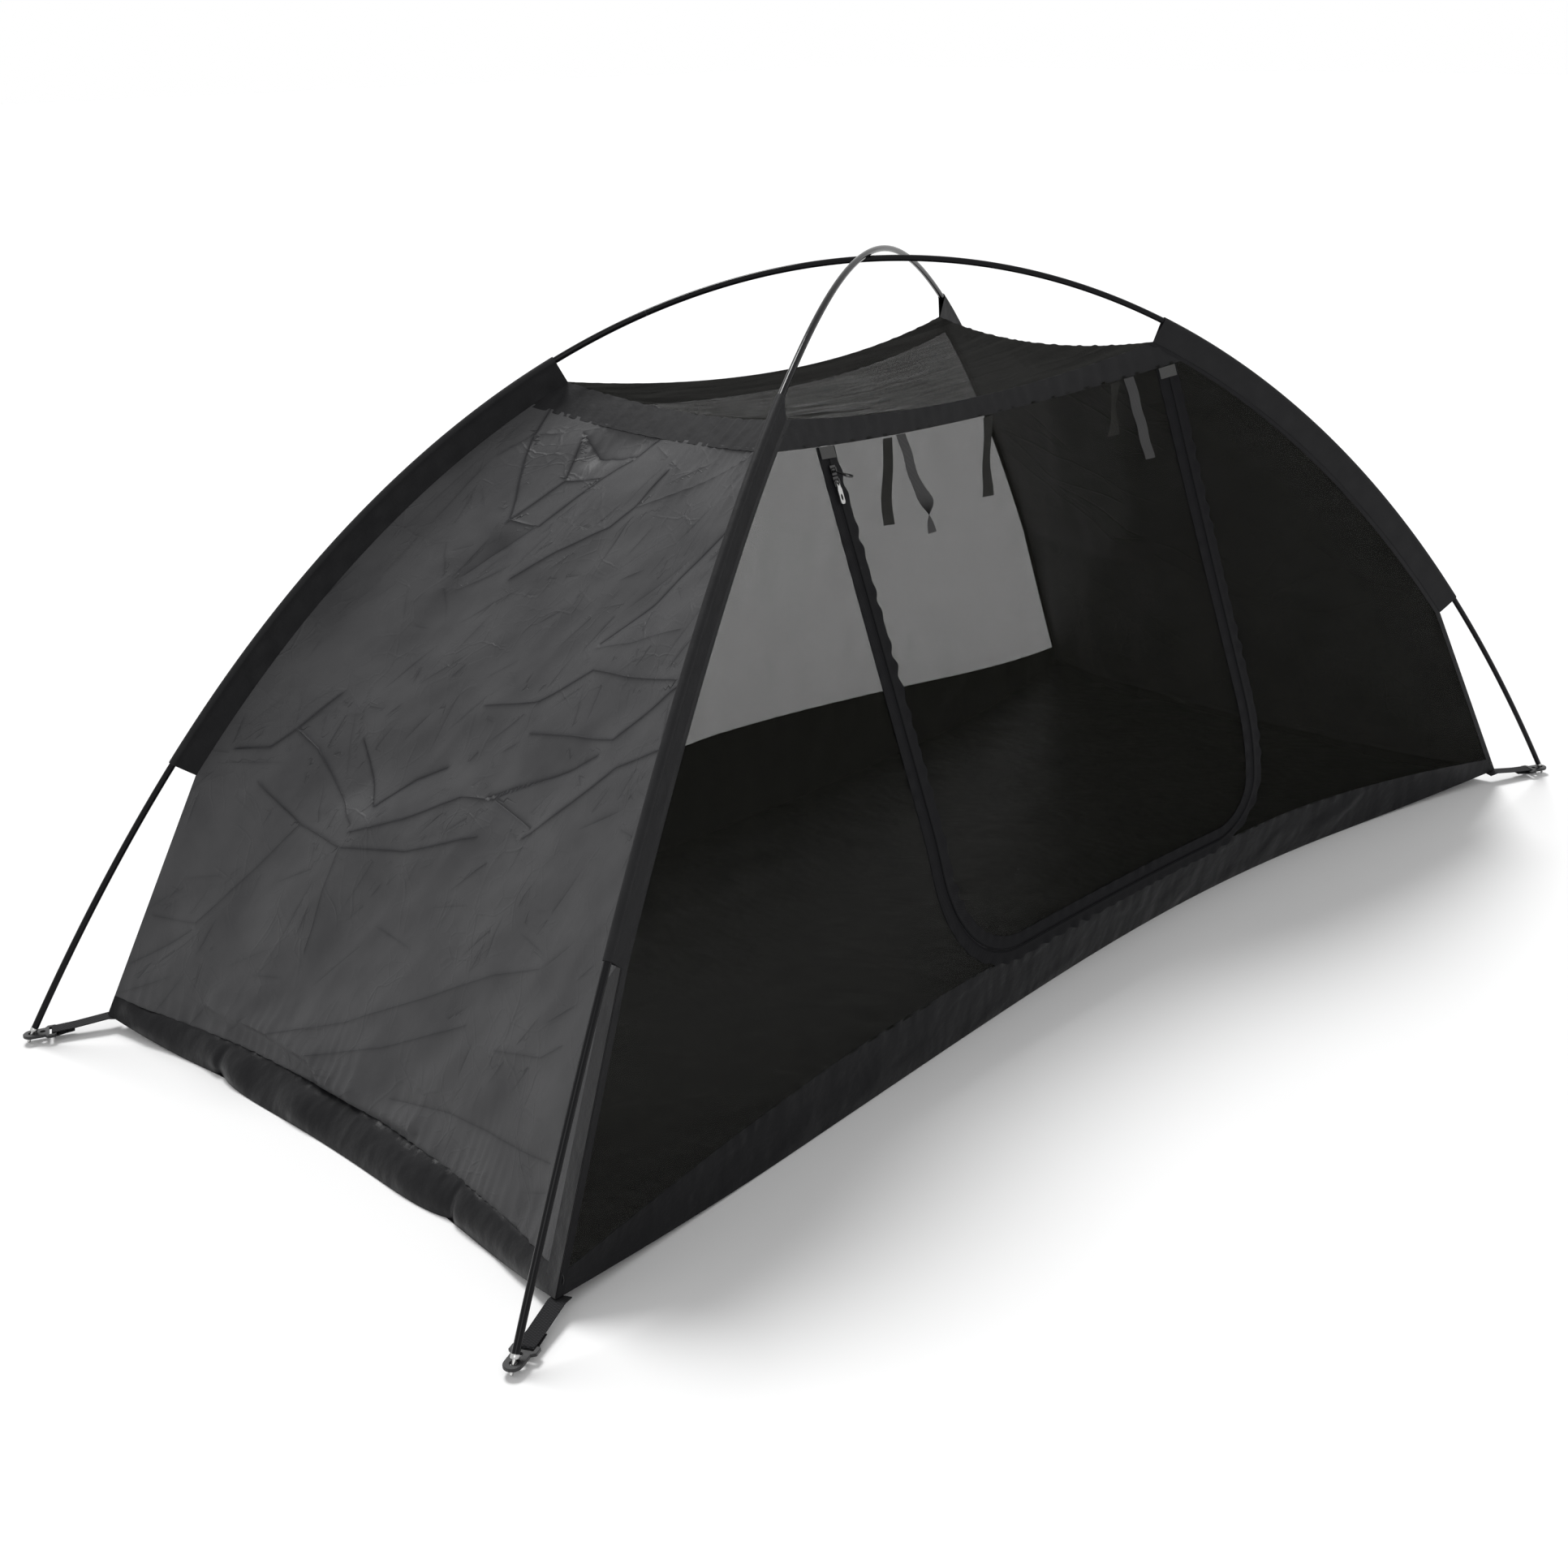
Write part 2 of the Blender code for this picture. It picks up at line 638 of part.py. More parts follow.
def build_tub_walls():
    """Four low walls that stand on the groundsheet's edge."""
    foot = CLOTH + SEAM_GAP
    rows = np.linspace(0.0, 1.0, 4)[:, None]
    share = np.linspace(-1.0, 1.0, 29)
    for name, y_sign, sill, skew in (("tub_wall_back", 1.0, back_sill(share), 0.0),
                                     ("tub_wall_front", -1.0, sill_height(share, SILL_MIDDLE), FRONT_SKEW)):
        height = foot + (sill - foot) * rows
        grid = long_wall(share * (edge_at(height)[0] - BINDING_WIDTH - SEAM_GAP), height, skew)
        sheet(name, mirrored(grid, 1.0, y_sign), "groundsheet")
    share = np.linspace(-1.0, 1.0, 13)
    height = foot + (sill_height(share, END_SILL_MIDDLE) - foot) * rows
    grid = end_wall(share * (edge_at(height)[1] - CORNER_GAP), height)
    grid[..., 0] += SILL_BILLOW * np.sin(math.pi * rows) * (1.0 - share ** 4) + foot_bulge(share) * (1.0 - rows)
    sheet("tub_wall_right", grid, "groundsheet")
    sheet("tub_wall_left", mirrored(grid, -1.0, 1.0), "groundsheet")


# End panels: one sheet of polyester from the tub wall to the roof strip


def crease_field(share, rise):
    """Outward push of the end panel's folds: soft ridges along lines, and gathers under the top seam."""
    push = np.zeros_like(share)
    width = CREASE_WIDTH / ((BASE_Y + ROOF_Y) / 2.0)
    for number, (start, end) in enumerate(CREASE_SHARES):
        along = np.array([end[0] - start[0], end[1] - start[1]])
        run = ((share - start[0]) * along[0] + (rise - start[1]) * along[1]) / (along @ along)
        run = np.clip(run, 0.0, 1.0)
        away = np.hypot(share - start[0] - run * along[0], rise - start[1] - run * along[1])
        turn = 1.0 if number % 2 else -1.0
        push += turn * CREASE_DEPTH * np.exp(-(away / width) ** 2) * np.sin(math.pi * run)
    push += GATHER_DEPTH * np.cos(2.0 * math.pi * GATHERS * share) * rise ** 6
    return push * (1.0 - share ** 6) * (1.0 - (2.0 * rise - 1.0) ** 10)


def build_end_panels():
    """The left panel shows its folds; the right one is the plain mirror image."""
    for name, x_sign, columns, folds in (("end_panel_left", -1.0, 25, 1.0), ("end_panel_right", 1.0, 13, 0.0)):
        share = np.linspace(-1.0, 1.0, columns)
        low = sill_height(share, END_SILL_MIDDLE) + SEAM_GAP
        rise = row_shares(SILL_CORNER + SEAM_GAP)[:, None]
        height = low + (STRIP_HEIGHT - SEAM_GAP - low) * rise
        grid = end_wall(share * (edge_at(height)[1] - CORNER_GAP), height)
        push = folds * crease_field(share * np.ones_like(rise), rise * np.ones_like(share))
        outward = normals_of(grid)
        outward *= np.sign(outward[..., :1])
        sheet(name, mirrored(grid + outward * push[..., None], x_sign, 1.0), "polyester")


# Net walls: the back, the two sides of the door, and the door itself
SILL_LINE = SILL_MIDDLE + SEAM_GAP
ZIP_FOOT = SILL_MIDDLE + TAPE_WIDTH - NET_UNDER_TAPE
NET_INSET = TAPE_WIDTH - NET_UNDER_TAPE


def zip_line(height, inset):
    """Where the door's two edges lie at a height, moved in from the zip's middle by an inset."""
    left_radius = LEFT_CORNER_RADIUS - inset
    right_radius = RIGHT_CORNER_RADIUS - inset
    left_fall = np.clip(ZIP_FOOT + LEFT_CORNER_RADIUS - height, 0.0, left_radius)
    right_fall = np.clip(ZIP_FOOT + RIGHT_CORNER_RADIUS - height, 0.0, right_radius)
    left = LEFT_CORNER_RADIUS - LEG_X - np.sqrt(left_radius ** 2 - left_fall ** 2)
    right = RIGHT_LEG_X - RIGHT_CORNER_RADIUS + np.sqrt(right_radius ** 2 - right_fall ** 2)
    return left, right


def net_rows(sill, shared_from):
    """Heights of a net wall's rows over its sill, which meet the edge's bends where the sill has a given height."""
    shares = row_shares(shared_from + SEAM_GAP)[:, None]
    low = sill + SEAM_GAP
    return low + (STRIP_HEIGHT - SEAM_GAP - low) * shares


def build_net_walls():
    """Back net, and the front net to the left and right of the zip."""
    share = np.linspace(-1.0, 1.0, 21)
    height = net_rows(back_sill(share), BACK_SILL_CORNER)
    reach = edge_at(height)[0] - BINDING_WIDTH - SEAM_GAP
    sheet("back_net", long_wall(share * reach, height), "net")
    part = np.linspace(0.0, 1.0, 8)
    for name, sign in (("front_net_left", -1.0), ("front_net_right", 1.0)):
        sill = np.broadcast_to(SILL_MIDDLE, part.shape)
        for _ in range(SILL_PASSES):
            height = net_rows(sill, SILL_MIDDLE)
            left, right = zip_line(height, -NET_INSET)
            inner = left if sign < 0 else right
            outer = sign * (edge_at(height)[0] - BINDING_WIDTH - SEAM_GAP)
            x = outer + (inner - outer) * part
            sill = sill_height(x[0] / BASE_X, SILL_MIDDLE)
        sheet(name, front_wall(x, height), "net")


SHARED_ROWS = SILL_LINE + (STRIP_HEIGHT - SEAM_GAP - SILL_LINE) * row_shares(SILL_LINE)


def door_grid(low, high, columns):
    """A grid between the zip's legs from one height to another, on the front wall's shared rows."""
    inside = SHARED_ROWS[(SHARED_ROWS > low + FOLD_GAP) & (SHARED_ROWS < high - FOLD_GAP)]
    height = np.array([low, *inside, high])[:, None]
    left, right = zip_line(height, NET_INSET)
    return front_wall(left + (right - left) * np.linspace(0.0, 1.0, columns), height * np.ones(columns))


def build_door():
    """The net above the fold stays on the roof strip; the flap below it opens."""
    sheet("door_header", door_grid(FOLD_HEIGHT, STRIP_HEIGHT - SEAM_GAP, 17), "net")
    flap = sheet("door_flap", door_grid(ZIP_FOOT + NET_INSET, FOLD_HEIGHT - FOLD_GAP, 9), "net")
    set_origin(flap, FOLD_AXIS)


# Zip: two tapes with their coils, which part down the middle


def zip_path(low, high):
    """The zip's middle line between two heights: down the left leg, along the sill and up the right leg."""
    path = []
    left_bend = ZIP_FOOT + LEFT_CORNER_RADIUS
    right_bend = ZIP_FOOT + RIGHT_CORNER_RADIUS
    for height in [high, *[row for row in SHARED_ROWS[::-1] if max(low, left_bend) < row < high]]:
        path.append(((-LEG_X, height), (-1.0, 0.0)))
    if low > left_bend:
        path.append(((-LEG_X, low), (-1.0, 0.0)))
        return path
    for step in range(CORNER_STEPS + 1):
        angle = math.pi / 2.0 * step / CORNER_STEPS
        away = (-math.cos(angle), -math.sin(angle))
        path.append(((LEFT_CORNER_RADIUS - LEG_X + LEFT_CORNER_RADIUS * away[0],
                      left_bend + LEFT_CORNER_RADIUS * away[1]), away))
    ends = (LEFT_CORNER_RADIUS - LEG_X, RIGHT_LEG_X - RIGHT_CORNER_RADIUS)
    for x in np.linspace(*ends, CORNER_STEPS)[1:-1]:
        path.append(((x, ZIP_FOOT), (0.0, -1.0)))
    for step in range(CORNER_STEPS + 1):
        angle = math.pi / 2.0 * step / CORNER_STEPS
        away = (math.sin(angle), -math.cos(angle))
        path.append(((RIGHT_LEG_X - RIGHT_CORNER_RADIUS + RIGHT_CORNER_RADIUS * away[0],
                      right_bend + RIGHT_CORNER_RADIUS * away[1]), away))
    for height in [*[row for row in SHARED_ROWS if right_bend < row < high], high]:
        path.append(((RIGHT_LEG_X, height), (1.0, 0.0)))
    return path


TAPE_OUT = CLOTH / 2.0 + TAPE_SEAT + TAPE_THICKNESS / 2.0


def tape_shape(path, side):
    """One half of the zip: a coil along the middle line and a flat tape beside it."""
    edge = ZIP_GAP / 2.0
    coil = edge + COIL_WIDTH
    half = TAPE_THICKNESS / 2.0
    tall = COIL_HEIGHT / 2.0
    section = np.array([(edge, -tall), (coil, -tall), (coil, -half), (TAPE_WIDTH, -half),
                        (TAPE_WIDTH, half), (coil, half), (coil, tall), (edge, tall)])
    loops = []
    for (x, height), (away_x, away_height) in path:
        across = side * section[:, 0]
        points = front_wall(x + across * away_x, height + across * away_height, TAPE_OUT + section[:, 1])
        loops.append(list(points))
    return loft(loops)


def build_zip():
    """The cabin's half in one length; the door's half in three, parted at the fold."""
    top = STRIP_HEIGHT - SEAM_GAP
    whole = zip_path(SILL_LINE, top)
    add_object("zip_tape_cabin", mesh_from("zip_tape_cabin", *tape_shape(whole, 1.0)), "tape")
    flap = zip_path(SILL_LINE, FOLD_HEIGHT - FOLD_GAP)
    flap_tape = add_object("zip_tape_door", mesh_from("zip_tape_door", *tape_shape(flap, -1.0)), "tape")
    set_origin(flap_tape, FOLD_AXIS)
    header = zip_path(FOLD_HEIGHT, top)
    other = [((RIGHT_LEG_X, height), (1.0, 0.0)) for (x, height), away in header]
    for name, path in (("zip_tape_header_left", header), ("zip_tape_header_right", other)):
        add_object(name, mesh_from(name, *tape_shape(path, -1.0)), "tape")
    out = TAPE_OUT + COIL_HEIGHT / 2.0 + SEAT_GAP + PATCH_THICKNESS / 2.0
    for name, middle in (("zip_end_patch_left", -LEG_X), ("zip_end_patch_right", RIGHT_LEG_X)):
        x, height = np.meshgrid(np.linspace(middle - TAPE_WIDTH, middle + TAPE_WIDTH, 3),
                                np.linspace(top - PATCH_LENGTH, top, 2))
        sheet(name, front_wall(x, height, np.full(x.shape, out)), "ribbon", PATCH_THICKNESS)


def fold_axis():
    """The door's hinge line: the outermost point of the zip at the fold, so that nothing turns inwards."""
    out = TAPE_OUT + COIL_HEIGHT / 2.0
    points = front_wall(np.array([-LEG_X, RIGHT_LEG_X]), np.full(2, FOLD_HEIGHT), np.full(2, out))
    return Vector((0.0, float(points[:, 1].min()), float(points[:, 2].mean())))


FOLD_AXIS = fold_axis()


# Sliders and pulls


def leg_place(height):
    """A place on the left leg of the zip: down the leg, across it and out of the tape."""
    origin = front_wall(np.float64(-LEG_X), np.float64(height), np.float64(TAPE_OUT))
    down = unit([0.0, -LEG_SLOPE_SHARE, -1.0])
    step = POLE_DIAMETER / 2.0
    across = front_wall(np.float64(step - LEG_X), np.float64(height), np.float64(TAPE_OUT)) - origin
    out = unit(np.cross(down, across))
    return place_of(origin, down, unit(np.cross(out, down)), out)


def box_outline(low, high, half):
    """A rectangle from low to high, half to either side."""
    return [(low, -half), (high, -half), (high, half), (low, half)]


def build_slider(name, height, material):
    """A slider body: two plates with lips, the wedge between the coils and the bridge for the pull."""
    place = leg_place(height)
    slot = SLIDER_SLOT / 2.0
    half_length = SLIDER_LENGTH / 2.0
    body = None
    parts = []
    for sign in (1.0, -1.0):
        loops = []
        for run, half in ((-half_length, SLIDER_WIDTH / 2.0), (0.0, SLIDER_WIDTH / 2.0),
                          (half_length, SLIDER_NOSE_WIDTH / 2.0)):
            edge = slot - SLIDER_LIP
            inside = half - SLIDER_LIP
            section = [(-half, edge), (-half, slot + SLIDER_PLATE), (half, slot + SLIDER_PLATE), (half, edge),
                       (inside, edge), (inside, slot), (-inside, slot), (-inside, edge)]
            loops.append([place @ Vector((run, across, sign * out)) for across, out in section])
        plate = add_object(name if body is None else "plate", mesh_from(name, *loft(loops)), material)
        if body is None:
            body = plate
        else:
            parts.append(plate)
    reach = slot + SLIDER_PLATE / 2.0
    web = box_outline(-half_length + SLIDER_LIP, SLIDER_WEB_LENGTH - half_length, SLIDER_WEB / 2.0)
    parts.append(slab("web", web, -reach, reach, place, material))
    root = slot + SLIDER_PLATE / 2.0
    crown = slot + SLIDER_PLATE + BRIDGE_RISE
    long = BRIDGE_HALF_LENGTH
    arch = [(-long, root), (BRIDGE_BAR - long, root), (BRIDGE_BAR - long, crown), (long - BRIDGE_BAR, crown),
            (long - BRIDGE_BAR, root), (long, root), (long, crown + BRIDGE_BAR), (-long, crown + BRIDGE_BAR)]
    loops = [[place @ Vector((run, across, out)) for run, out in arch]
             for across in (-BRIDGE_HALF_WIDTH, BRIDGE_HALF_WIDTH)]
    parts.append(add_object("bridge", mesh_from("bridge", *loft(loops)), material))
    combine(body, parts, "UNION")
    set_origin(body, place.translation)


def pull_place(height, angle):
    """A pull's hinge on its slider's bridge, turned out from the tape by an angle."""
    lift = SLIDER_SLOT / 2.0 + SLIDER_PLATE + PULL_CLEARANCE + PULL_THICKNESS / 2.0
    hinge = leg_place(height) @ Matrix.Translation((PULL_PIVOT_RUN, 0.0, lift))
    return hinge @ Matrix.Rotation(math.radians(-angle), 4, "Y")


def mirror_outline(half_outline):
    """A symmetrical outline from its one side, given as runs and half widths."""
    return [(run, -half) for run, half in half_outline] + [(run, half) for run, half in half_outline[::-1]]


def build_pull(name, height, angle, half_outline, hole, material):
    """A flat pull: an eye round the bridge, a neck, and a handle with its own hole."""
    place = pull_place(height, angle)
    half = PULL_THICKNESS / 2.0
    pull = slab(name, mirror_outline(half_outline), -half, half, place, material)
    eye = box_outline(PULL_END_HALF, PULL_END_HALF + PULL_EYE_LENGTH, PULL_EYE_HALF)
    cutters = [slab("eye", eye, -CUT_OVERRUN, CUT_OVERRUN, place, material),
               slab("hole", hole, -CUT_OVERRUN, CUT_OVERRUN, place, material)]
    combine(pull, cutters, "DIFFERENCE")
    set_origin(pull, place.translation)


def build_sliders():
    """Both sliders rest near the top of the left leg."""
    upper = STRIP_HEIGHT - UPPER_SLIDER_DROP
    slant = math.hypot(LEG_SLOPE_SHARE, 1.0)
    lower = upper - SLIDER_SPACING / slant
    build_slider("zip_slider_upper", upper, "bright")
    build_slider("zip_slider_lower", lower, "bright")
    neck = PULL_END_HALF + PULL_EYE_LENGTH + PULL_THICKNESS
    end = SILVER_PULL_LENGTH
    silver = [(-PULL_END_HALF, PULL_HEAD_HALF), (neck, PULL_HEAD_HALF),
              (neck + SILVER_PULL_HALF, SILVER_PULL_HALF), (end - SILVER_PULL_HALF / 2.0, SILVER_PULL_HALF),
              (end, SILVER_PULL_HALF / 2.0)]
    middle = end - SILVER_PULL_HALF - SILVER_HOLE_LENGTH / 2.0
    hole = [(middle + SILVER_HOLE_LENGTH / 2.0 * math.cos(turn), SILVER_HOLE_HALF * math.sin(turn))
            for turn in np.linspace(0.0, 2.0 * math.pi, HOLE_SIDES + 1)[:-1]]
    build_pull("zip_pull_lower", lower, 0.0, silver, hole, "bright")
    ring = BLACK_PULL_LENGTH - BLACK_RING_HALF
    black = [(-PULL_END_HALF, PULL_HEAD_HALF), (neck + PULL_THICKNESS, PULL_HEAD_HALF)]
    for step in range(ROUND_STEPS + 1):
        turn = math.radians(150.0 - 150.0 * step / ROUND_STEPS)
        black.append((ring + BLACK_RING_HALF * math.cos(turn), BLACK_RING_HALF * math.sin(turn)))
    black = [*black[:-1], (BLACK_PULL_LENGTH, PULL_END_HALF)]
    build_pull("zip_pull_upper", upper, BLACK_PULL_ANGLE, black, disc(BLACK_RING_HOLE, HOLE_SIDES, (ring, 0.0)),
               "plastic")


# Tie ribbons under the front roof strip


def build_ties():
    """Three ribbons hang inside the net and two lie on it outside."""
    top = STRIP_HEIGHT - SEAM_GAP
    offset = CLOTH / 2.0 + SEAM_GAP + TIE_THICKNESS / 2.0
    share = np.linspace(0.0, 1.0, TIE_ROWS)[:, None]
    for number, (x_share, length) in enumerate(zip(OUTER_TIE_SHARES, OUTER_TIE_LENGTHS)):
        x = x_share * HALF_LENGTH
        across = np.array([x - TIE_WIDTH / 2.0, x + TIE_WIDTH / 2.0])
        inside = SHARED_ROWS[(SHARED_ROWS > top - length + TIE_WIDTH) & (SHARED_ROWS < top - TIE_WIDTH)]
        rows = np.array([top - length, *inside, top])[::-1, None]
        grid = front_wall(across * np.ones_like(rows), rows * np.ones(2), offset * np.ones((len(rows), 2)))
        tie = sheet(f"tie_outer_{number + 1}", grid, "ribbon", TIE_THICKNESS)
        set_origin(tie, Vector(grid[0].mean(axis=0)))
    for number, (x_share, length) in enumerate(zip(INNER_TIE_SHARES, INNER_TIE_LENGTHS)):
        x = x_share * HALF_LENGTH
        across = np.array([x - TIE_WIDTH / 2.0, x + TIE_WIDTH / 2.0])
        start = front_wall(across, np.full(2, top), np.full(2, -offset))
        tie = sheet(f"tie_inner_{number + 1}", start + np.array([0.0, 0.0, -length]) * share[..., None], "ribbon",
                    TIE_THICKNESS)
        set_origin(tie, Vector(start.mean(axis=0)))


# Roof: four strips round a panel of net


def build_roof():
    """Strips finish the walls' tops, and the net lies slack between them."""
    height = np.linspace(STRIP_HEIGHT, WALL_RISE, 2)[:, None]
    share = np.linspace(-1.0, 1.0, 17)
    grid = long_wall(share * (edge_at(height)[0] - BINDING_WIDTH - SEAM_GAP), height)
    sheet("roof_strip_back", grid, "polyester")
    sheet("roof_strip_front", mirrored(grid, 1.0, -1.0), "polyester")
    share = np.linspace(-1.0, 1.0, 9)
    grid = end_wall(share * (edge_at(height)[1] - CORNER_GAP), height)
    sheet("roof_strip_right", grid, "polyester")
    sheet("roof_strip_left", mirrored(grid, -1.0, 1.0), "polyester")
    inset = SEAM_GAP + CLOTH
    across, up = np.meshgrid(np.linspace(-1.0, 1.0, 17), np.linspace(-1.0, 1.0, 9))
    front = long_wall(across * ROOF_X, WALL_RISE * np.ones_like(across))[..., 1]
    x = across * (ROOF_X - END_ROOF_BOW * (1.0 - up ** 2) - inset)
    sag = LONG_ROOF_DIP * (1.0 - across ** 2) + END_ROOF_DIP * (1.0 - up ** 2)
    sheet("roof_net", np.stack([x, up * (front - inset), ROOF_Z - sag], axis=-1), "net")


# Sleeves: a folded tunnel round each pole, sewn to a flat binding down the cabin's edge


def sleeve_profile(radius, depth, half_seam):
    """The tunnel's section: round over the pole, then two flat sides drawn together at the seam."""
    points = [(half_seam, depth)]
    for step in range(SLEEVE_ROUND_POINTS):
        angle = math.radians(30.0 - 240.0 * step / (SLEEVE_ROUND_POINTS - 1))
        points.append((radius * math.cos(angle), radius * math.sin(angle)))
    return [*points, (-half_seam, depth)]


def build_sleeve(corner, x_sign, y_sign):
    """One sleeve and its binding, which follows the long wall's edge down to the base corner."""
    pole = pole_end(x_sign, y_sign)[0]
    low = pole.run_at(x_sign * SLEEVE_MOUTH_SHARE)
    high = pole.run_at(x_sign * SLEEVE_TOP_SHARE)
    runs = pole.runs_between(min(low, high), max(low, high))
    centres, along, side, inward = pole.frames(runs)
    clear_radius = (POLE_RADIUS + SEAT_GAP) / math.cos(math.radians(120.0 / (SLEEVE_ROUND_POINTS - 1)))
    outer = sleeve_profile(clear_radius + CLOTH, SLEEVE_DEPTH, SLEEVE_HALF_SEAM)
    inner = sleeve_profile(clear_radius, SLEEVE_DEPTH - CLOTH * 3.0, SLEEVE_HALF_SEAM - CLOTH)
    skins = []
    for section in (outer, inner):
        skins.append([[centres[index] + across * side[index] + depth * inward[index] for across, depth in section]
                      for index in range(len(runs))])
    name = f"pole_sleeve_{corner}"
    sleeve = add_object(name, mesh_from(name, *pipe(*skins)), "polyester")
    heights = [*np.linspace(CLOTH + SEAT_GAP, EDGE_HEIGHTS[1], 4)[:-1], *EDGE_HEIGHTS[1:]]
    share = np.linspace(0.0, 1.0, 3)
    height = np.array(heights)[:, None] * np.ones(3)
    skew = FRONT_SKEW if y_sign < 0 else 0.0
    grid = long_wall(x_sign * (edge_at(height)[0] - BINDING_WIDTH * (1.0 - share)), height, skew)
    grid = mirrored(grid, x_sign, 1.0)
    grid[:, -1] += BINDING_ROOT * unit([HALF_LENGTH, HALF_WIDTH, BASE_X])
    binding = sheet("binding", mirrored(grid, x_sign, y_sign), "polyester", BINDING_THICKNESS)
    combine(sleeve, [binding], "UNION")


# Corners: tip, plate and strap


def offset_outline(outline, inset):
    """An outline drawn in by an inset."""
    points = np.array(outline)
    before = unit(points - np.roll(points, 1, axis=0))
    after = unit(np.roll(points, -1, axis=0) - points)
    inward = unit(np.stack([-(before + after)[:, 1], (before + after)[:, 0]], axis=-1))
    return [tuple(point) for point in points + inset * inward]


def plate_outline():
    """A rounded nose, a waist and two ears, with its origin at the pin hole."""
    rear = -(SLOT_SETBACK + SLOT_WIDTH / 2.0 + BAR_WIDTH)
    ear_front = -(SLOT_SETBACK - SLOT_WIDTH / 2.0 - PLATE_EAR)
    side = [(rear, PLATE_HALF_WIDTH - PLATE_EAR / 2.0), (rear + PLATE_EAR / 2.0, PLATE_HALF_WIDTH),
            (ear_front - PLATE_EAR / 2.0, PLATE_HALF_WIDTH), (ear_front + PLATE_EAR / 2.0, PLATE_NOSE)]
    side += [(PLATE_NOSE * math.cos(turn), PLATE_NOSE * math.sin(turn))
             for turn in np.linspace(math.pi / 2.0, 0.0, ROUND_STEPS)[:-1]]
    return [(run, -half) for run, half in side] + [(PLATE_NOSE, 0.0)] + side[::-1]


def thick_line(line, thickness):
    """The outline of a strip of constant thickness along a line of (run, height) points."""
    points = np.array(line)
    along = unit(np.gradient(points, axis=0))
    normal = np.stack([-along[:, 1], along[:, 0]], axis=-1) * (thickness / 2.0)
    return [tuple(point) for point in np.vstack([points + normal, (points - normal)[::-1]])]


def build_corner(corner, x_sign, y_sign):
    """A pole tip stands in its plate, which the webbing ties to the base corner."""
    pole, end, direction = pole_end(x_sign, y_sign)
    build_tip(f"pole_tip_{corner}", pole, end, direction)
    base, axis = tip_axis(pole, end, direction)
    shoulder = base - axis * COLLAR_LENGTH
    collar_low = shoulder[2] - COLLAR_RADIUS * math.hypot(axis[0], axis[1])
    top = collar_low - SEAT_GAP
    middle = top - PLATE_THICKNESS / 2.0
    pin = shoulder - axis * ((shoulder[2] - middle) / axis[2])
    out = unit([x_sign * HALF_LENGTH, y_sign * HALF_WIDTH, 0.0])
    across = np.cross((0.0, 0.0, 1.0), out)
    place = place_of((pin[0], pin[1], 0.0), out, across, (0.0, 0.0, 1.0))
    outline = plate_outline()
    low = top - PLATE_THICKNESS
    loops = []
    for level, inset in ((low, PLATE_EDGE), (low + PLATE_EDGE, 0.0), (top - PLATE_EDGE, 0.0), (top, PLATE_EDGE)):
        loops.append([place @ Vector((run, half, level)) for run, half in offset_outline(outline, inset)])
    name = f"corner_plate_{corner}"
    plate = add_object(name, mesh_from(name, *loft(loops)), "plastic")
    slot = [(run - SLOT_SETBACK, half) for run, half in box_outline(-SLOT_WIDTH / 2.0, SLOT_WIDTH / 2.0,
                                                                     SLOT_LENGTH / 2.0)]
    holes = (disc(PIN_HOLE_RADIUS, HOLE_SIDES), disc(PEG_HOLE_RADIUS, HOLE_SIDES, (-PEG_HOLE_SETBACK, 0.0)), slot)
    combine(plate, [slab("cut", hole, low - CUT_OVERRUN, top + CUT_OVERRUN, place, "plastic") for hole in holes],
            "DIFFERENCE")
    build_strap(corner, place, pin, out, low, top)


def build_strap(corner, place, pin, out, low, top):
    """Webbing sewn under the base corner, taken over the plate's bar, through its slot and back."""
    seat = WEBBING_THICKNESS / 2.0 + SEAT_GAP
    corner_run = float(np.array([BASE_X, BASE_Y]) @ np.abs(out[:2]) - np.abs(pin[:2]) @ np.abs(out[:2]))
    under = BASE_Z - seat
    rear = -(SLOT_SETBACK + SLOT_WIDTH / 2.0 + BAR_WIDTH)
    front = rear + BAR_WIDTH
    turned_back = rear - WEBBING_TURN_BACK
    line = [
        (corner_run - WEBBING_SEWN, under - WEBBING_DROP), (corner_run, under - WEBBING_DROP / 4.0),
        (turned_back, top + seat + seat), (rear, top + seat), (front, top + seat), (front + seat, top),
        (front + seat, low), (front, low - seat), (rear, low - seat),
        (rear - WEBBING_TURN_BACK / 2.0, low + seat), (turned_back, top - seat - seat),
    ]
    outline = thick_line(line, WEBBING_THICKNESS)
    loops = [[place @ Vector((run, half, level)) for run, level in outline]
             for half in (-WEBBING_WIDTH / 2.0, WEBBING_WIDTH / 2.0)]
    name = f"corner_strap_{corner}"
    add_object(name, mesh_from(name, *loft(loops)), "webbing")


for pole_name, pole_shape in POLES.items():
    build_pole(pole_name, pole_shape)
build_groundsheet()
build_tub_walls()
build_end_panels()
build_net_walls()
build_door()
build_zip()
build_sliders()
build_ties()
build_roof()
for corner_name, (sign_x, sign_y) in QUADRANTS.items():
    build_sleeve(corner_name, sign_x, sign_y)
    build_corner(corner_name, sign_x, sign_y)
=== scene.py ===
"""A one-person mosquito net tent, dressed for rendering: two crossed poles, four corner plates and a sewn
cabin of net and polyester with a zipped door. Length runs along X, the door faces -Y and the tent stands on
z = 0.
"""
import math

import bpy
import numpy as np
from mathutils import Matrix


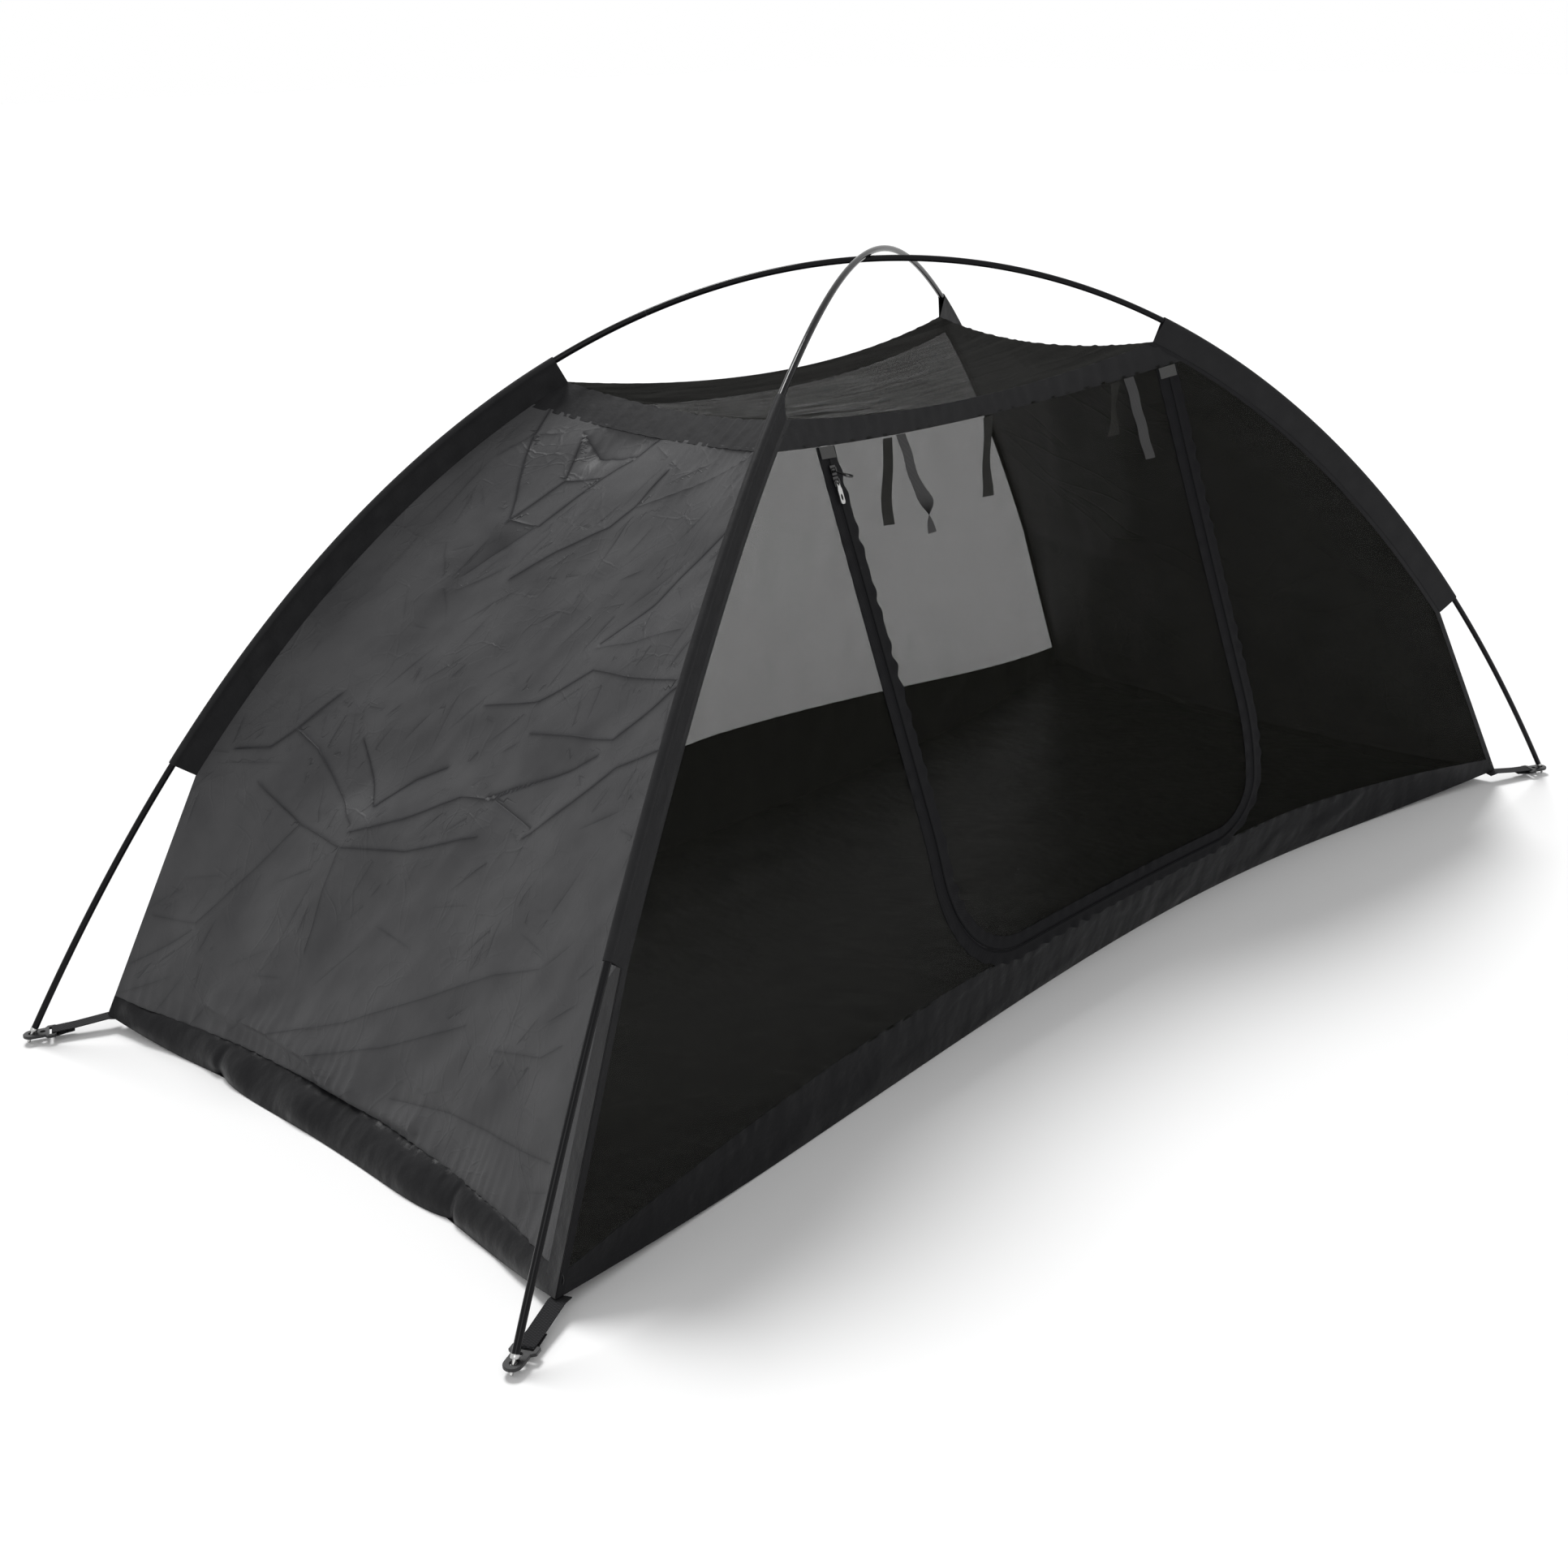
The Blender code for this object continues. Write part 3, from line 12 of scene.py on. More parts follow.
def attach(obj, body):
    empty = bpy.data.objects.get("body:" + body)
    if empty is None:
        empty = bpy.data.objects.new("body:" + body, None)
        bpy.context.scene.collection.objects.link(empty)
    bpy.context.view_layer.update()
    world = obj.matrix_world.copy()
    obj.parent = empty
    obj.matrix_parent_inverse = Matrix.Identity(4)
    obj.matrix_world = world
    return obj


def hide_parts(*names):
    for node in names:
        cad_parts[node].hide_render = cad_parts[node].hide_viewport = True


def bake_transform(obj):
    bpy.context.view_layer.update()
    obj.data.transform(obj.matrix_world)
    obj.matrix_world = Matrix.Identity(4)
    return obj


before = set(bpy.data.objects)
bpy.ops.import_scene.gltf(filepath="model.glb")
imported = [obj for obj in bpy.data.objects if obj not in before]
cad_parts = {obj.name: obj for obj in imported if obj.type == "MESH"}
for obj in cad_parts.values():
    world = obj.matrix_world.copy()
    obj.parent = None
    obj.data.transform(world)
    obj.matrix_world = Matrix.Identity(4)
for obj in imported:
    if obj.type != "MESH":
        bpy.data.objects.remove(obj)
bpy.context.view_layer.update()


# Camera, floor and studio light
# The camera looks down on the near left corner. A wide soft light stands over the tent and a weaker one
# before its near corner. The world fills the rest, so that a colour renders about as it is written.
EYE = np.array([-1.960, -1.927, 1.236])
EYE_TURN, EYE_DIP, EYE_ROLL = (math.radians(angle) for angle in (47.708, 21.595, -0.876))
SENSOR_WIDTH = 36.0
FOCAL_LENGTH = 46.03
LENS_SHIFT_X = -0.1112
LENS_SHIFT_Y = 0.0075
LIGHT_DISTANCE = 3.0
FILL_LIGHT = 0.50
FLOOR_REACH = 30.0
FLOOR_DROP = 0.0005


def turned_to(side, tall, back, place):
    """The matrix of an object whose own x, y and z axes point in three directions, at a place."""
    return Matrix([[side[row], tall[row], back[row], place[row]] for row in range(3)] + [[0, 0, 0, 1]])


forward = np.array([math.sin(EYE_TURN) * math.cos(EYE_DIP), math.cos(EYE_TURN) * math.cos(EYE_DIP),
                    -math.sin(EYE_DIP)])
level = np.array([math.cos(EYE_TURN), -math.sin(EYE_TURN), 0.0])
upright = np.cross(level, forward)
right = level * math.cos(EYE_ROLL) + upright * math.sin(EYE_ROLL)
above = upright * math.cos(EYE_ROLL) - level * math.sin(EYE_ROLL)

camera = bpy.data.objects.new("camera", bpy.data.cameras.new("camera"))
bpy.context.scene.collection.objects.link(camera)
camera.matrix_world = turned_to(right, above, -forward, EYE)
camera.data.sensor_width = SENSOR_WIDTH
camera.data.lens = FOCAL_LENGTH
camera.data.shift_x = LENS_SHIFT_X
camera.data.shift_y = LENS_SHIFT_Y
bpy.context.scene.camera = camera
bpy.context.scene.view_settings.view_transform = "Standard"


def add_node(tree, kind, *sources, **settings):
    """A shader node. Its sources go into its inputs in order: a node's output is linked, a value is set."""
    item = tree.nodes.new(kind)
    for key, value in settings.items():
        setattr(item, key, value)
    for socket, source in zip(item.inputs, sources):
        if isinstance(source, bpy.types.NodeSocket):
            tree.links.new(source, socket)
        elif source is not None:
            socket.default_value = source
    return item


def unit(vectors):
    """Vectors divided by their length."""
    vectors = np.asarray(vectors, dtype=float)
    return vectors / np.linalg.norm(vectors, axis=-1, keepdims=True)


def add_soft_light(name, toward, power, width):
    """A soft, even studio light that comes from a direction. Its width is in degrees of the sky."""
    lamp = bpy.data.lights.new(name, "SUN")
    lamp.energy = power
    lamp.angle = math.radians(width)
    light = bpy.data.objects.new(name, lamp)
    bpy.context.scene.collection.objects.link(light)
    away = unit(toward)
    side = unit(np.cross((0.0, 1.0, 0.001), away))
    light.matrix_world = turned_to(side, np.cross(away, side), away, LIGHT_DISTANCE * away)


def new_finish(name, roughness, metallic=0.0, gloss=0.5):
    """A Principled material, its node tree, its shader and its texture coordinates. UVs are in metres."""
    material = bpy.data.materials.new(name)
    material.use_nodes = True
    tree = material.node_tree
    shader = tree.nodes["Principled BSDF"]
    shader.inputs["Roughness"].default_value = roughness
    shader.inputs["Metallic"].default_value = metallic
    shader.inputs["Specular IOR Level"].default_value = gloss
    return material, tree, shader, add_node(tree, "ShaderNodeTexCoord")


def tint(tree, shader, amount, low, high):
    """Base colour that runs from a low to a high colour with an amount."""
    ramp = add_node(tree, "ShaderNodeValToRGB", amount)
    ramp.color_ramp.elements[0].color = (*low, 1.0)
    ramp.color_ramp.elements[1].color = (*high, 1.0)
    tree.links.new(ramp.outputs[0], shader.inputs["Base Color"])


add_soft_light("soft_light_above", (0.25, 0.55, 1.0), power=2.1, width=20.0)
add_soft_light("soft_light_front", (-0.9, -0.75, 0.55), power=0.45, width=30.0)

world = bpy.data.worlds.new("studio")
bpy.context.scene.world = world
world.use_nodes = True
studio = world.node_tree
studio.nodes.clear()
path = add_node(studio, "ShaderNodeLightPath")
seen = add_node(studio, "ShaderNodeMath", path.outputs["Is Camera Ray"], path.outputs["Is Glossy Ray"],
                operation="MAXIMUM")
clear = add_node(studio, "ShaderNodeMath", seen.outputs[0], path.outputs["Is Transmission Ray"],
                 operation="MAXIMUM")
strength = add_node(studio, "ShaderNodeMath", clear.outputs[0], 1.0 - FILL_LIGHT, FILL_LIGHT,
                    operation="MULTIPLY_ADD")
sky = add_node(studio, "ShaderNodeBackground", (1.0, 1.0, 1.0, 1.0), strength.outputs[0])
add_node(studio, "ShaderNodeOutputWorld", sky.outputs[0])

floor_mesh = bpy.data.meshes.new("studio_floor")
floor_corners = [(x * FLOOR_REACH, y * FLOOR_REACH, -FLOOR_DROP)
                 for x, y in ((-1, -1), (1, -1), (1, 1), (-1, 1))]
floor_mesh.from_pydata(floor_corners, [], [(0, 1, 2, 3)])
studio_floor = bpy.data.objects.new("studio_floor", floor_mesh)
bpy.context.scene.collection.objects.link(studio_floor)
floor_paint, tree, shader, coords = new_finish("studio_floor", 0.9)
grain = add_node(tree, "ShaderNodeTexNoise", coords.outputs["Object"], None, 3.0)
tint(tree, shader, grain.outputs[0], (0.955, 0.955, 0.955), (0.965, 0.965, 0.965))
floor_mesh.materials.append(floor_paint)


# Poles
# Two long poles of black anodised aluminium tube, each of five lengths pushed together over an elastic cord.
# They cross over the roof, and each is bent into a full arch over a diagonal of the floor.
HALF_LENGTH = 1.07
HALF_WIDTH = 0.5175
POLE_HEIGHT = 0.920
POLE_RADIUS = 0.00425
POLE_LIFT = 0.0088
PLAN_BOW_SHARES = (0.156, 0.059)
ARCH_FULLNESS_SHARE = 0.036
SLEEVE_TOP_SHARE = 0.346
TIP_LENGTH = 0.0222
SECTIONS = 5
JOINT_GAP = 0.0003
CORD_RADIUS = 0.0015
CORD_END_GAP = 0.0125
LINE_STATIONS = 2401
TUBE_STATIONS = 90
TUBE_SIDES = 24
CORD_STATIONS = 320
CORD_SIDES = 10


class PoleLine:
    """A pole's middle line. Over the diagonal, height falls with the square of the reach, a little fuller at
    the shoulders. The diagonal bows towards the long sides. The upper pole is lifted over the lower one."""

    def __init__(self, side, lift):
        reach = np.linspace(-1.0, 1.0, LINE_STATIONS)
        shoulder = 1.0 - reach ** 2
        bow = 1.0 + PLAN_BOW_SHARES[0] * shoulder + PLAN_BOW_SHARES[1] * shoulder ** 2
        over = np.maximum(0.0, 1.0 - (reach / SLEEVE_TOP_SHARE) ** 2) ** 2
        height = POLE_HEIGHT * shoulder * (1.0 + ARCH_FULLNESS_SHARE * reach ** 2) + lift * over
        self.points = np.stack([HALF_LENGTH * reach, side * HALF_WIDTH * reach * bow, height], axis=-1)
        self.runs = np.concatenate([[0.0], np.cumsum(np.linalg.norm(np.diff(self.points, axis=0), axis=1))])
        self.reach = reach
        self.length = self.runs[-1]

    def at(self, run):
        """The point a run of pole away from the left-hand pin."""
        return np.stack([np.interp(run, self.runs, self.points[:, axis]) for axis in range(3)], axis=-1)

    def run_at(self, reach):
        """The run at which the line has come so far along the tent."""
        return float(np.interp(reach, self.reach, self.runs))

    def frames(self, run):
        """Each run's point, its sideways direction and its inward one, both square to the pole."""
        run = np.asarray(run, dtype=float)
        step = 2.0 * POLE_RADIUS
        along = unit(self.at(np.minimum(run + step, self.length)) - self.at(np.maximum(run - step, 0.0)))
        side = unit(np.cross(along, (0.0, 0.0, 1.0)))
        return self.at(run), side, unit(np.cross(along, side))


POLES = {"pole_1": PoleLine(-1.0, 0.0), "pole_2": PoleLine(1.0, POLE_LIFT)}


def add_piece(name, points, quads, quad_uv, caps, finish, body, nodes, crisp=50.0):
    """A closed mesh of quads and end caps whose faces look outwards: where the sum of the signed volumes
    under its faces is negative, every face is turned over. quad_uv is each corner's place on the cloth, in
    metres, and an edge bent by more than crisp degrees stays sharp."""
    points = np.asarray(points, dtype=float).reshape(-1, 3)
    corner = points[quads]
    volume = np.einsum("ij,ij->", corner[:, 0], np.cross(corner[:, 1], corner[:, 2]))
    volume += np.einsum("ij,ij->", corner[:, 0], np.cross(corner[:, 2], corner[:, 3]))
    for cap in caps:
        ring = points[cap]
        volume += np.cross(ring[1:-1], ring[2:]).sum(axis=0) @ ring[0]
    if volume < 0.0:
        quads = quads[:, ::-1]
        quad_uv = quad_uv[:, ::-1]
        caps = [cap[::-1] for cap in caps]
    mesh = bpy.data.meshes.new(name)
    mesh.from_pydata(points.tolist(), [], quads.tolist() + [list(map(int, cap)) for cap in caps])
    places = np.concatenate([quad_uv.reshape(-1, 2), np.zeros((sum(len(cap) for cap in caps), 2))])
    mesh.uv_layers.new(name="cloth").data.foreach_set("uv", places.ravel())
    mesh.shade_smooth()
    mesh.set_sharp_from_angle(angle=math.radians(crisp))
    mesh.materials.append(finish)
    piece = bpy.data.objects.new(name, mesh)
    bpy.context.scene.collection.objects.link(piece)
    if body:
        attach(piece, body)
    if nodes:
        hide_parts(*nodes)
    return piece


def loft_quads(rings):
    """Quads and their cloth places for a skin over rings of points: u runs round a ring, v along them."""
    count, sides = rings.shape[:2]
    ring, side = np.meshgrid(np.arange(count - 1), np.arange(sides), indexing="ij")
    after = (side + 1) % sides
    quads = np.stack([ring * sides + side, ring * sides + after,
                      (ring + 1) * sides + after, (ring + 1) * sides + side], axis=-1).reshape(-1, 4)
    closed = np.concatenate([rings, rings[:, :1]], axis=1)
    girth = np.linalg.norm(np.diff(closed, axis=1), axis=2).mean(axis=0)
    round_run = np.concatenate([[0.0], np.cumsum(girth)])
    steps = np.linalg.norm(np.diff(rings.mean(axis=1), axis=0), axis=1)
    long_run = np.concatenate([[0.0], np.cumsum(steps)])
    u = np.stack([round_run[side], round_run[side + 1], round_run[side + 1], round_run[side]], axis=-1)
    v = np.stack([long_run[ring], long_run[ring], long_run[ring + 1], long_run[ring + 1]], axis=-1)
    return quads, np.stack([u, v], axis=-1).reshape(-1, 4, 2)


def add_loft(name, rings, finish, body, nodes, crisp=50.0):
    """A skin over rings of points, closed by a flat cap at each end."""
    count, sides = rings.shape[:2]
    quads, quad_uv = loft_quads(rings)
    caps = [np.arange(sides)[::-1], np.arange((count - 1) * sides, count * sides)]
    return add_piece(name, rings, quads, quad_uv, caps, finish, body, nodes, crisp)


def circles(centres, side, inward, radius, count):
    """Round rings: centre + radius (cos a, sin a) in the ring's two directions."""
    angle = np.linspace(0.0, 2.0 * math.pi, count + 1)[:-1]
    radius = np.broadcast_to(radius, len(centres))[:, None, None]
    spokes = np.cos(angle)[:, None] * side[:, None, :] + np.sin(angle)[:, None] * inward[:, None, :]
    return centres[:, None, :] + radius * spokes


def spread(tree, amount, low, high):
    """An amount between 0 and 1 spread over a range."""
    return add_node(tree, "ShaderNodeMath", amount, high - low, low, operation="MULTIPLY_ADD").outputs[0]


def relief(tree, shader, layers):
    """Bump layers, each an amount and its depth in metres, laid over one another."""
    normal = None
    for amount, depth in layers:
        normal = add_node(tree, "ShaderNodeBump", 1.0, depth, None, amount, normal).outputs[0]
    tree.links.new(normal, shader.inputs["Normal"])


anodised, tree, shader, coords = new_finish("pole_black", 0.12, 0.0, 0.12)
drawn = add_node(tree, "ShaderNodeMapping", coords.outputs["UV"], None, None, (900.0, 6.0, 1.0))
lines = add_node(tree, "ShaderNodeTexNoise", drawn.outputs[0], None, 1.0, 3.0)
tint(tree, shader, lines.outputs[0], (0.003, 0.003, 0.004), (0.007, 0.007, 0.008))
tree.links.new(spread(tree, lines.outputs[0], 0.09, 0.17), shader.inputs["Roughness"])
relief(tree, shader, [(lines.outputs[0], 0.000005)])

elastic, tree, shader, coords = new_finish("shock_cord", 0.8)
braid = add_node(tree, "ShaderNodeTexWave", coords.outputs["UV"], 260.0, bands_direction="DIAGONAL")
tint(tree, shader, braid.outputs[0], (0.36, 0.36, 0.34), (0.58, 0.58, 0.55))
relief(tree, shader, [(braid.outputs[0], 0.0002)])

for name, pole in POLES.items():
    start = TIP_LENGTH + JOINT_GAP
    section = (pole.length - 2.0 * start) / SECTIONS
    for number in range(SECTIONS):
        low = start + number * section
        run = np.linspace(low, low + section - JOINT_GAP, TUBE_STATIONS)
        tube = circles(*pole.frames(run), POLE_RADIUS, TUBE_SIDES)
        add_loft(f"{name}_tube_{number + 1}", tube, anodised, "tent",
                 [f"{name}_section_{number + 1}"])
    run = np.linspace(start + CORD_END_GAP, pole.length - start - CORD_END_GAP, CORD_STATIONS)
    cord = circles(*pole.frames(run), CORD_RADIUS, CORD_SIDES)
    add_loft(f"{name}_elastic", cord, elastic, "tent", [f"{name}_shock_cord"])


# Pole tips
# A turned aluminium tip closes each end of a pole: a thin pin for the plate's hole, a collar that stands on
# the plate, and a spigot pressed into the tube.
PIN_LENGTH = 0.0172
PIN_RADIUS = 0.0020
NOSE_LENGTH = 0.0015
NOSE = ((0.0, 0.50), (0.0007, 0.82))
COLLAR_RADIUS = 0.0047
EDGE_ROUND = 0.0006
ROUND_SHARE = 0.3
SPIGOT_LENGTH = 0.012
SPIGOT_RADIUS = 0.0032
TIP_SIDES = 32
CORNERS = {"back_left": (-1, 1), "front_left": (-1, -1), "front_right": (1, -1), "back_right": (1, 1)}

bright, tree, shader, coords = new_finish("bright_metal", 0.28, 1.0)
turned = add_node(tree, "ShaderNodeTexNoise", coords.outputs["Object"], None, 900.0, 3.0)
tint(tree, shader, turned.outputs[0], (0.38, 0.38, 0.38), (0.54, 0.54, 0.53))
tree.links.new(spread(tree, turned.outputs[0], 0.20, 0.36), shader.inputs["Roughness"])


def pole_end(x_sign, y_sign):
    """The pole that stands in a corner, the run of its pin and the sense of the runs up the pole."""
    pole = POLES["pole_2"] if x_sign == y_sign else POLES["pole_1"]
    return (pole, 0.0, 1.0) if x_sign < 0 else (pole, pole.length, -1.0)


for corner, (x_sign, y_sign) in CORNERS.items():
    pole, end, sense = pole_end(x_sign, y_sign)
    base = pole.at(end + sense * TIP_LENGTH)
    axis = unit(pole.at(end + sense * (TIP_LENGTH + SPIGOT_LENGTH)) - base)
    side = unit(np.cross(axis, (0.0, 0.0, 1.0)))
    foot = PIN_RADIUS / 2.0 * math.hypot(axis[0], axis[1]) / axis[2]
    profile = np.array([
        *((place + foot, PIN_RADIUS * share) for place, share in NOSE),
        (NOSE_LENGTH, PIN_RADIUS),
        (PIN_LENGTH, PIN_RADIUS),
        (PIN_LENGTH, COLLAR_RADIUS - EDGE_ROUND),
        (PIN_LENGTH + EDGE_ROUND * ROUND_SHARE, COLLAR_RADIUS - EDGE_ROUND * ROUND_SHARE),
        (PIN_LENGTH + EDGE_ROUND, COLLAR_RADIUS),
        (TIP_LENGTH - EDGE_ROUND, COLLAR_RADIUS),
        (TIP_LENGTH - EDGE_ROUND * ROUND_SHARE, COLLAR_RADIUS - EDGE_ROUND * ROUND_SHARE),
        (TIP_LENGTH, COLLAR_RADIUS - EDGE_ROUND),
        (TIP_LENGTH, SPIGOT_RADIUS),
        (TIP_LENGTH + SPIGOT_LENGTH, SPIGOT_RADIUS),
    ])
    centres = base + axis * (profile[:, :1] - TIP_LENGTH)
    rings = circles(centres, side[None], np.cross(axis, side)[None], profile[:, 1], TIP_SIDES)
    add_loft(f"tip_{corner}", rings, bright, "tent", [f"pole_tip_{corner}"], 40.0)


# Corner plates and straps
# A small moulded plate of black plastic takes each pin, with a peg hole behind it. Black polyester webbing is
# sewn under the cabin's corner and goes over the plate's bar, through its slot and back under itself.
plastic, tree, shader, coords = new_finish("black_plastic", 0.38, 0.0, 0.35)
mould = add_node(tree, "ShaderNodeTexNoise", coords.outputs["Object"], None, 1400.0, 4.0)
tint(tree, shader, mould.outputs[0], (0.011, 0.011, 0.012), (0.019, 0.019, 0.020))
tree.links.new(spread(tree, mould.outputs[0], 0.30, 0.48), shader.inputs["Roughness"])
relief(tree, shader, [(mould.outputs[0], 0.00008)])

webbing, tree, shader, coords = new_finish("black_webbing", 0.82, 0.0, 0.2)
rib = add_node(tree, "ShaderNodeTexWave", coords.outputs["Object"], 170.0, 0.4, bands_direction="DIAGONAL")
cross_rib = add_node(tree, "ShaderNodeTexWave", coords.outputs["Object"], 120.0, 0.4, bands_direction="X")
weave = add_node(tree, "ShaderNodeMath", rib.outputs[1], cross_rib.outputs[1], operation="MULTIPLY")
tint(tree, shader, weave.outputs[0], (0.008, 0.008, 0.009), (0.030, 0.030, 0.032))
relief(tree, shader, [(weave.outputs[0], 0.0005)])


def refinish(node, finish):
    """A CAD node's own mesh, with a finish in place of its plain material."""
    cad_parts[node].data.materials.clear()
    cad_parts[node].data.materials.append(finish)


for corner in CORNERS:
    refinish(f"corner_plate_{corner}", plastic)
    refinish(f"corner_strap_{corner}", webbing)


# Groundsheet
# One piece of coated black polyester lies on the ground. Its sides are drawn in by the walls' pull, and its
# corners are lifted to the straps.
CLOTH = 0.0005
BASE_CORNER_INSET = 0.0995
BASE_CORNER_LIFT = 0.020
SLEEVE_MOUTH_SHARE = 0.798
SLEEVE_DEPTH = 0.032
LIFT_START_SHARE = 0.62
LEG_X = 0.300
LEG_TOP_Y = 0.196
LEG_TOP_Z = 0.778
LEG_SLOPE = 0.36
LEG_STRAIGHT_TO_Z = 0.300
LEG_FOOT_Y = 0.381
LONG_ROOF_DIP = 0.030
FRONT_SKEW = 0.020
SKEW_HEIGHT = 0.260
END_BASE_BOW = 0.040
END_FOOT_BULGE = 0.014
END_ROOF_BOW = 0.018
END_ROOF_DIP = 0.018
END_WAIST_BOW = 0.030
STRIP_WIDTH = 0.028
GROUND_CLEAR = 0.0004
SLACK_DEPTH = 0.0035
EDGE_STATIONS = 61


def cabin_edge():
    """The cabin's edge in the back right quarter: its base corner, then the line a sleeve's depth below the
    pole, from the sleeve's mouth to its top."""
    pole = POLES["pole_2"]
    run = np.linspace(pole.run_at(SLEEVE_MOUTH_SHARE), pole.run_at(SLEEVE_TOP_SHARE), EDGE_STATIONS)
    centres, _, inward = pole.frames(run)
    base = np.array([HALF_LENGTH, HALF_WIDTH, 0.0])
    base = base - BASE_CORNER_INSET * unit(base)
    base[2] = BASE_CORNER_LIFT
    return np.vstack([base, centres + SLEEVE_DEPTH * inward])


EDGE = cabin_edge()
BASE_X, _, BASE_Z = EDGE[0]
ROOF_X, _, ROOF_Z = EDGE[-1]
WALL_RISE = ROOF_Z - BASE_Z
STRIP_HEIGHT = WALL_RISE - STRIP_WIDTH


def edge_at(height):
    """The cabin's edge at a height above the base corner."""
    level = BASE_Z + np.asarray(height, dtype=float)
    return np.interp(level, EDGE[:, 2], EDGE[:, 0]), np.interp(level, EDGE[:, 2], EDGE[:, 1]), level


def raised(share):
    """How much of a corner's lift the base has at a share of its half length: a square ramp near the end."""
    return np.maximum(0.0, (np.abs(share) - LIFT_START_SHARE) / (1.0 - LIFT_START_SHARE)) ** 2


def leg_depth(level):
    """How far from the middle plane the zip's left leg runs: a straight line, with a parabola below it."""
    line = LEG_TOP_Y + LEG_SLOPE * (LEG_TOP_Z - level)
    knee = LEG_TOP_Y + LEG_SLOPE * (LEG_TOP_Z - LEG_STRAIGHT_TO_Z)
    fall = LEG_STRAIGHT_TO_Z - level
    bend = (knee + LEG_SLOPE * LEG_STRAIGHT_TO_Z - LEG_FOOT_Y) / LEG_STRAIGHT_TO_Z ** 2
    return np.where(level > LEG_STRAIGHT_TO_Z, line, knee + LEG_SLOPE * fall - bend * fall ** 2)


def wall_dip(height, share, roof_dip):
    """How far a wall hangs below the straight line between its two edges, most in its middle."""
    rise = height / WALL_RISE
    return (1.0 - rise) ** 4 * BASE_Z * (1.0 - raised(share)) + rise ** 2 * roof_dip * (1.0 - share ** 2)


def long_wall(x, height, skew=0.0):
    """A point of the back wall: a parabola in plan between the two edges, through the zip leg's line. The
    front wall is its mirror image, with a foot that stands out a little on the left and in on the right."""
    x, height = np.broadcast_arrays(np.asarray(x, dtype=float), np.asarray(height, dtype=float))
    edge_x, edge_y, level = edge_at(height)
    leg_share = LEG_X / edge_x
    bow = (edge_y - leg_depth(level - wall_dip(height, leg_share, LONG_ROOF_DIP))) / (1.0 - leg_share ** 2)
    share = x / edge_x
    depth = edge_y - bow * (1.0 - share ** 2)
    depth = depth - skew * np.sin(math.pi * share) * np.maximum(0.0, 1.0 - height / SKEW_HEIGHT) ** 2
    return np.stack([x, depth, level - wall_dip(height, share, LONG_ROOF_DIP)], axis=-1)


def end_wall(y, height):
    """A point of the right end wall: a parabola in plan, drawn in most at its waist."""
    y, height = np.broadcast_arrays(np.asarray(y, dtype=float), np.asarray(height, dtype=float))
    edge_x, edge_y, level = edge_at(height)
    rise = height / WALL_RISE
    bow = END_BASE_BOW + (END_ROOF_BOW - END_BASE_BOW) * rise + 4.0 * END_WAIST_BOW * rise * (1.0 - rise)
    share = y / edge_y
    depth = edge_x - bow * (1.0 - share ** 2)
    return np.stack([depth, y, level - wall_dip(height, share, END_ROOF_DIP)], axis=-1)


def foot_bulge(share):
    """How far the end walls' feet belly out between their two tucks: flat-topped, to the sixth power."""
    return END_FOOT_BULGE * np.maximum(0.0, 1.0 - (2.0 * share) ** 6)


def grid_normals(grid):
    """Unit normals of a surface grid: the cross product of its steps along a row and down a column."""
    return unit(np.cross(np.gradient(grid, axis=1), np.gradient(grid, axis=0)))


def add_cloth(name, grid, thickness, finish, body, nodes):
    """A sewn panel: a grid of points with half the cloth's thickness to either side and a closed rim. A panel
    given the body None is left unattached."""
    rows, columns = grid.shape[:2]
    step = grid_normals(grid) * (thickness / 2.0)
    count = rows * columns
    points = np.concatenate([(grid + step).reshape(-1, 3), (grid - step).reshape(-1, 3)])
    along = np.linalg.norm(np.diff(grid, axis=1), axis=2)
    down = np.linalg.norm(np.diff(grid, axis=0), axis=2)
    u = np.concatenate([np.zeros((rows, 1)), np.cumsum(along, axis=1)], axis=1)
    v = np.concatenate([np.zeros((1, columns)), np.cumsum(down, axis=0)], axis=0)
    u -= u[:, columns // 2:columns // 2 + 1]
    place = np.stack([u, np.broadcast_to(v, u.shape)], axis=-1).reshape(-1, 2)
    row, column = np.meshgrid(np.arange(rows - 1), np.arange(columns - 1), indexing="ij")
    first = (row * columns + column).ravel()
    front = np.stack([first, first + 1, first + columns + 1, first + columns], axis=-1)
    rim = np.concatenate([np.arange(columns), np.arange(2 * columns - 1, count, columns),
                          np.arange(count - 2, count - columns - 1, -1),
                          np.arange(count - 2 * columns, 0, -columns)])
    after = np.roll(rim, -1)
    edge = np.stack([after, rim, rim + count, after + count], axis=-1)
    quads = np.concatenate([front, front[:, ::-1] + count, edge])
    place = np.concatenate([place, place])
    piece = add_piece(name, points, quads, place[quads], (), finish, body, nodes)
    return piece


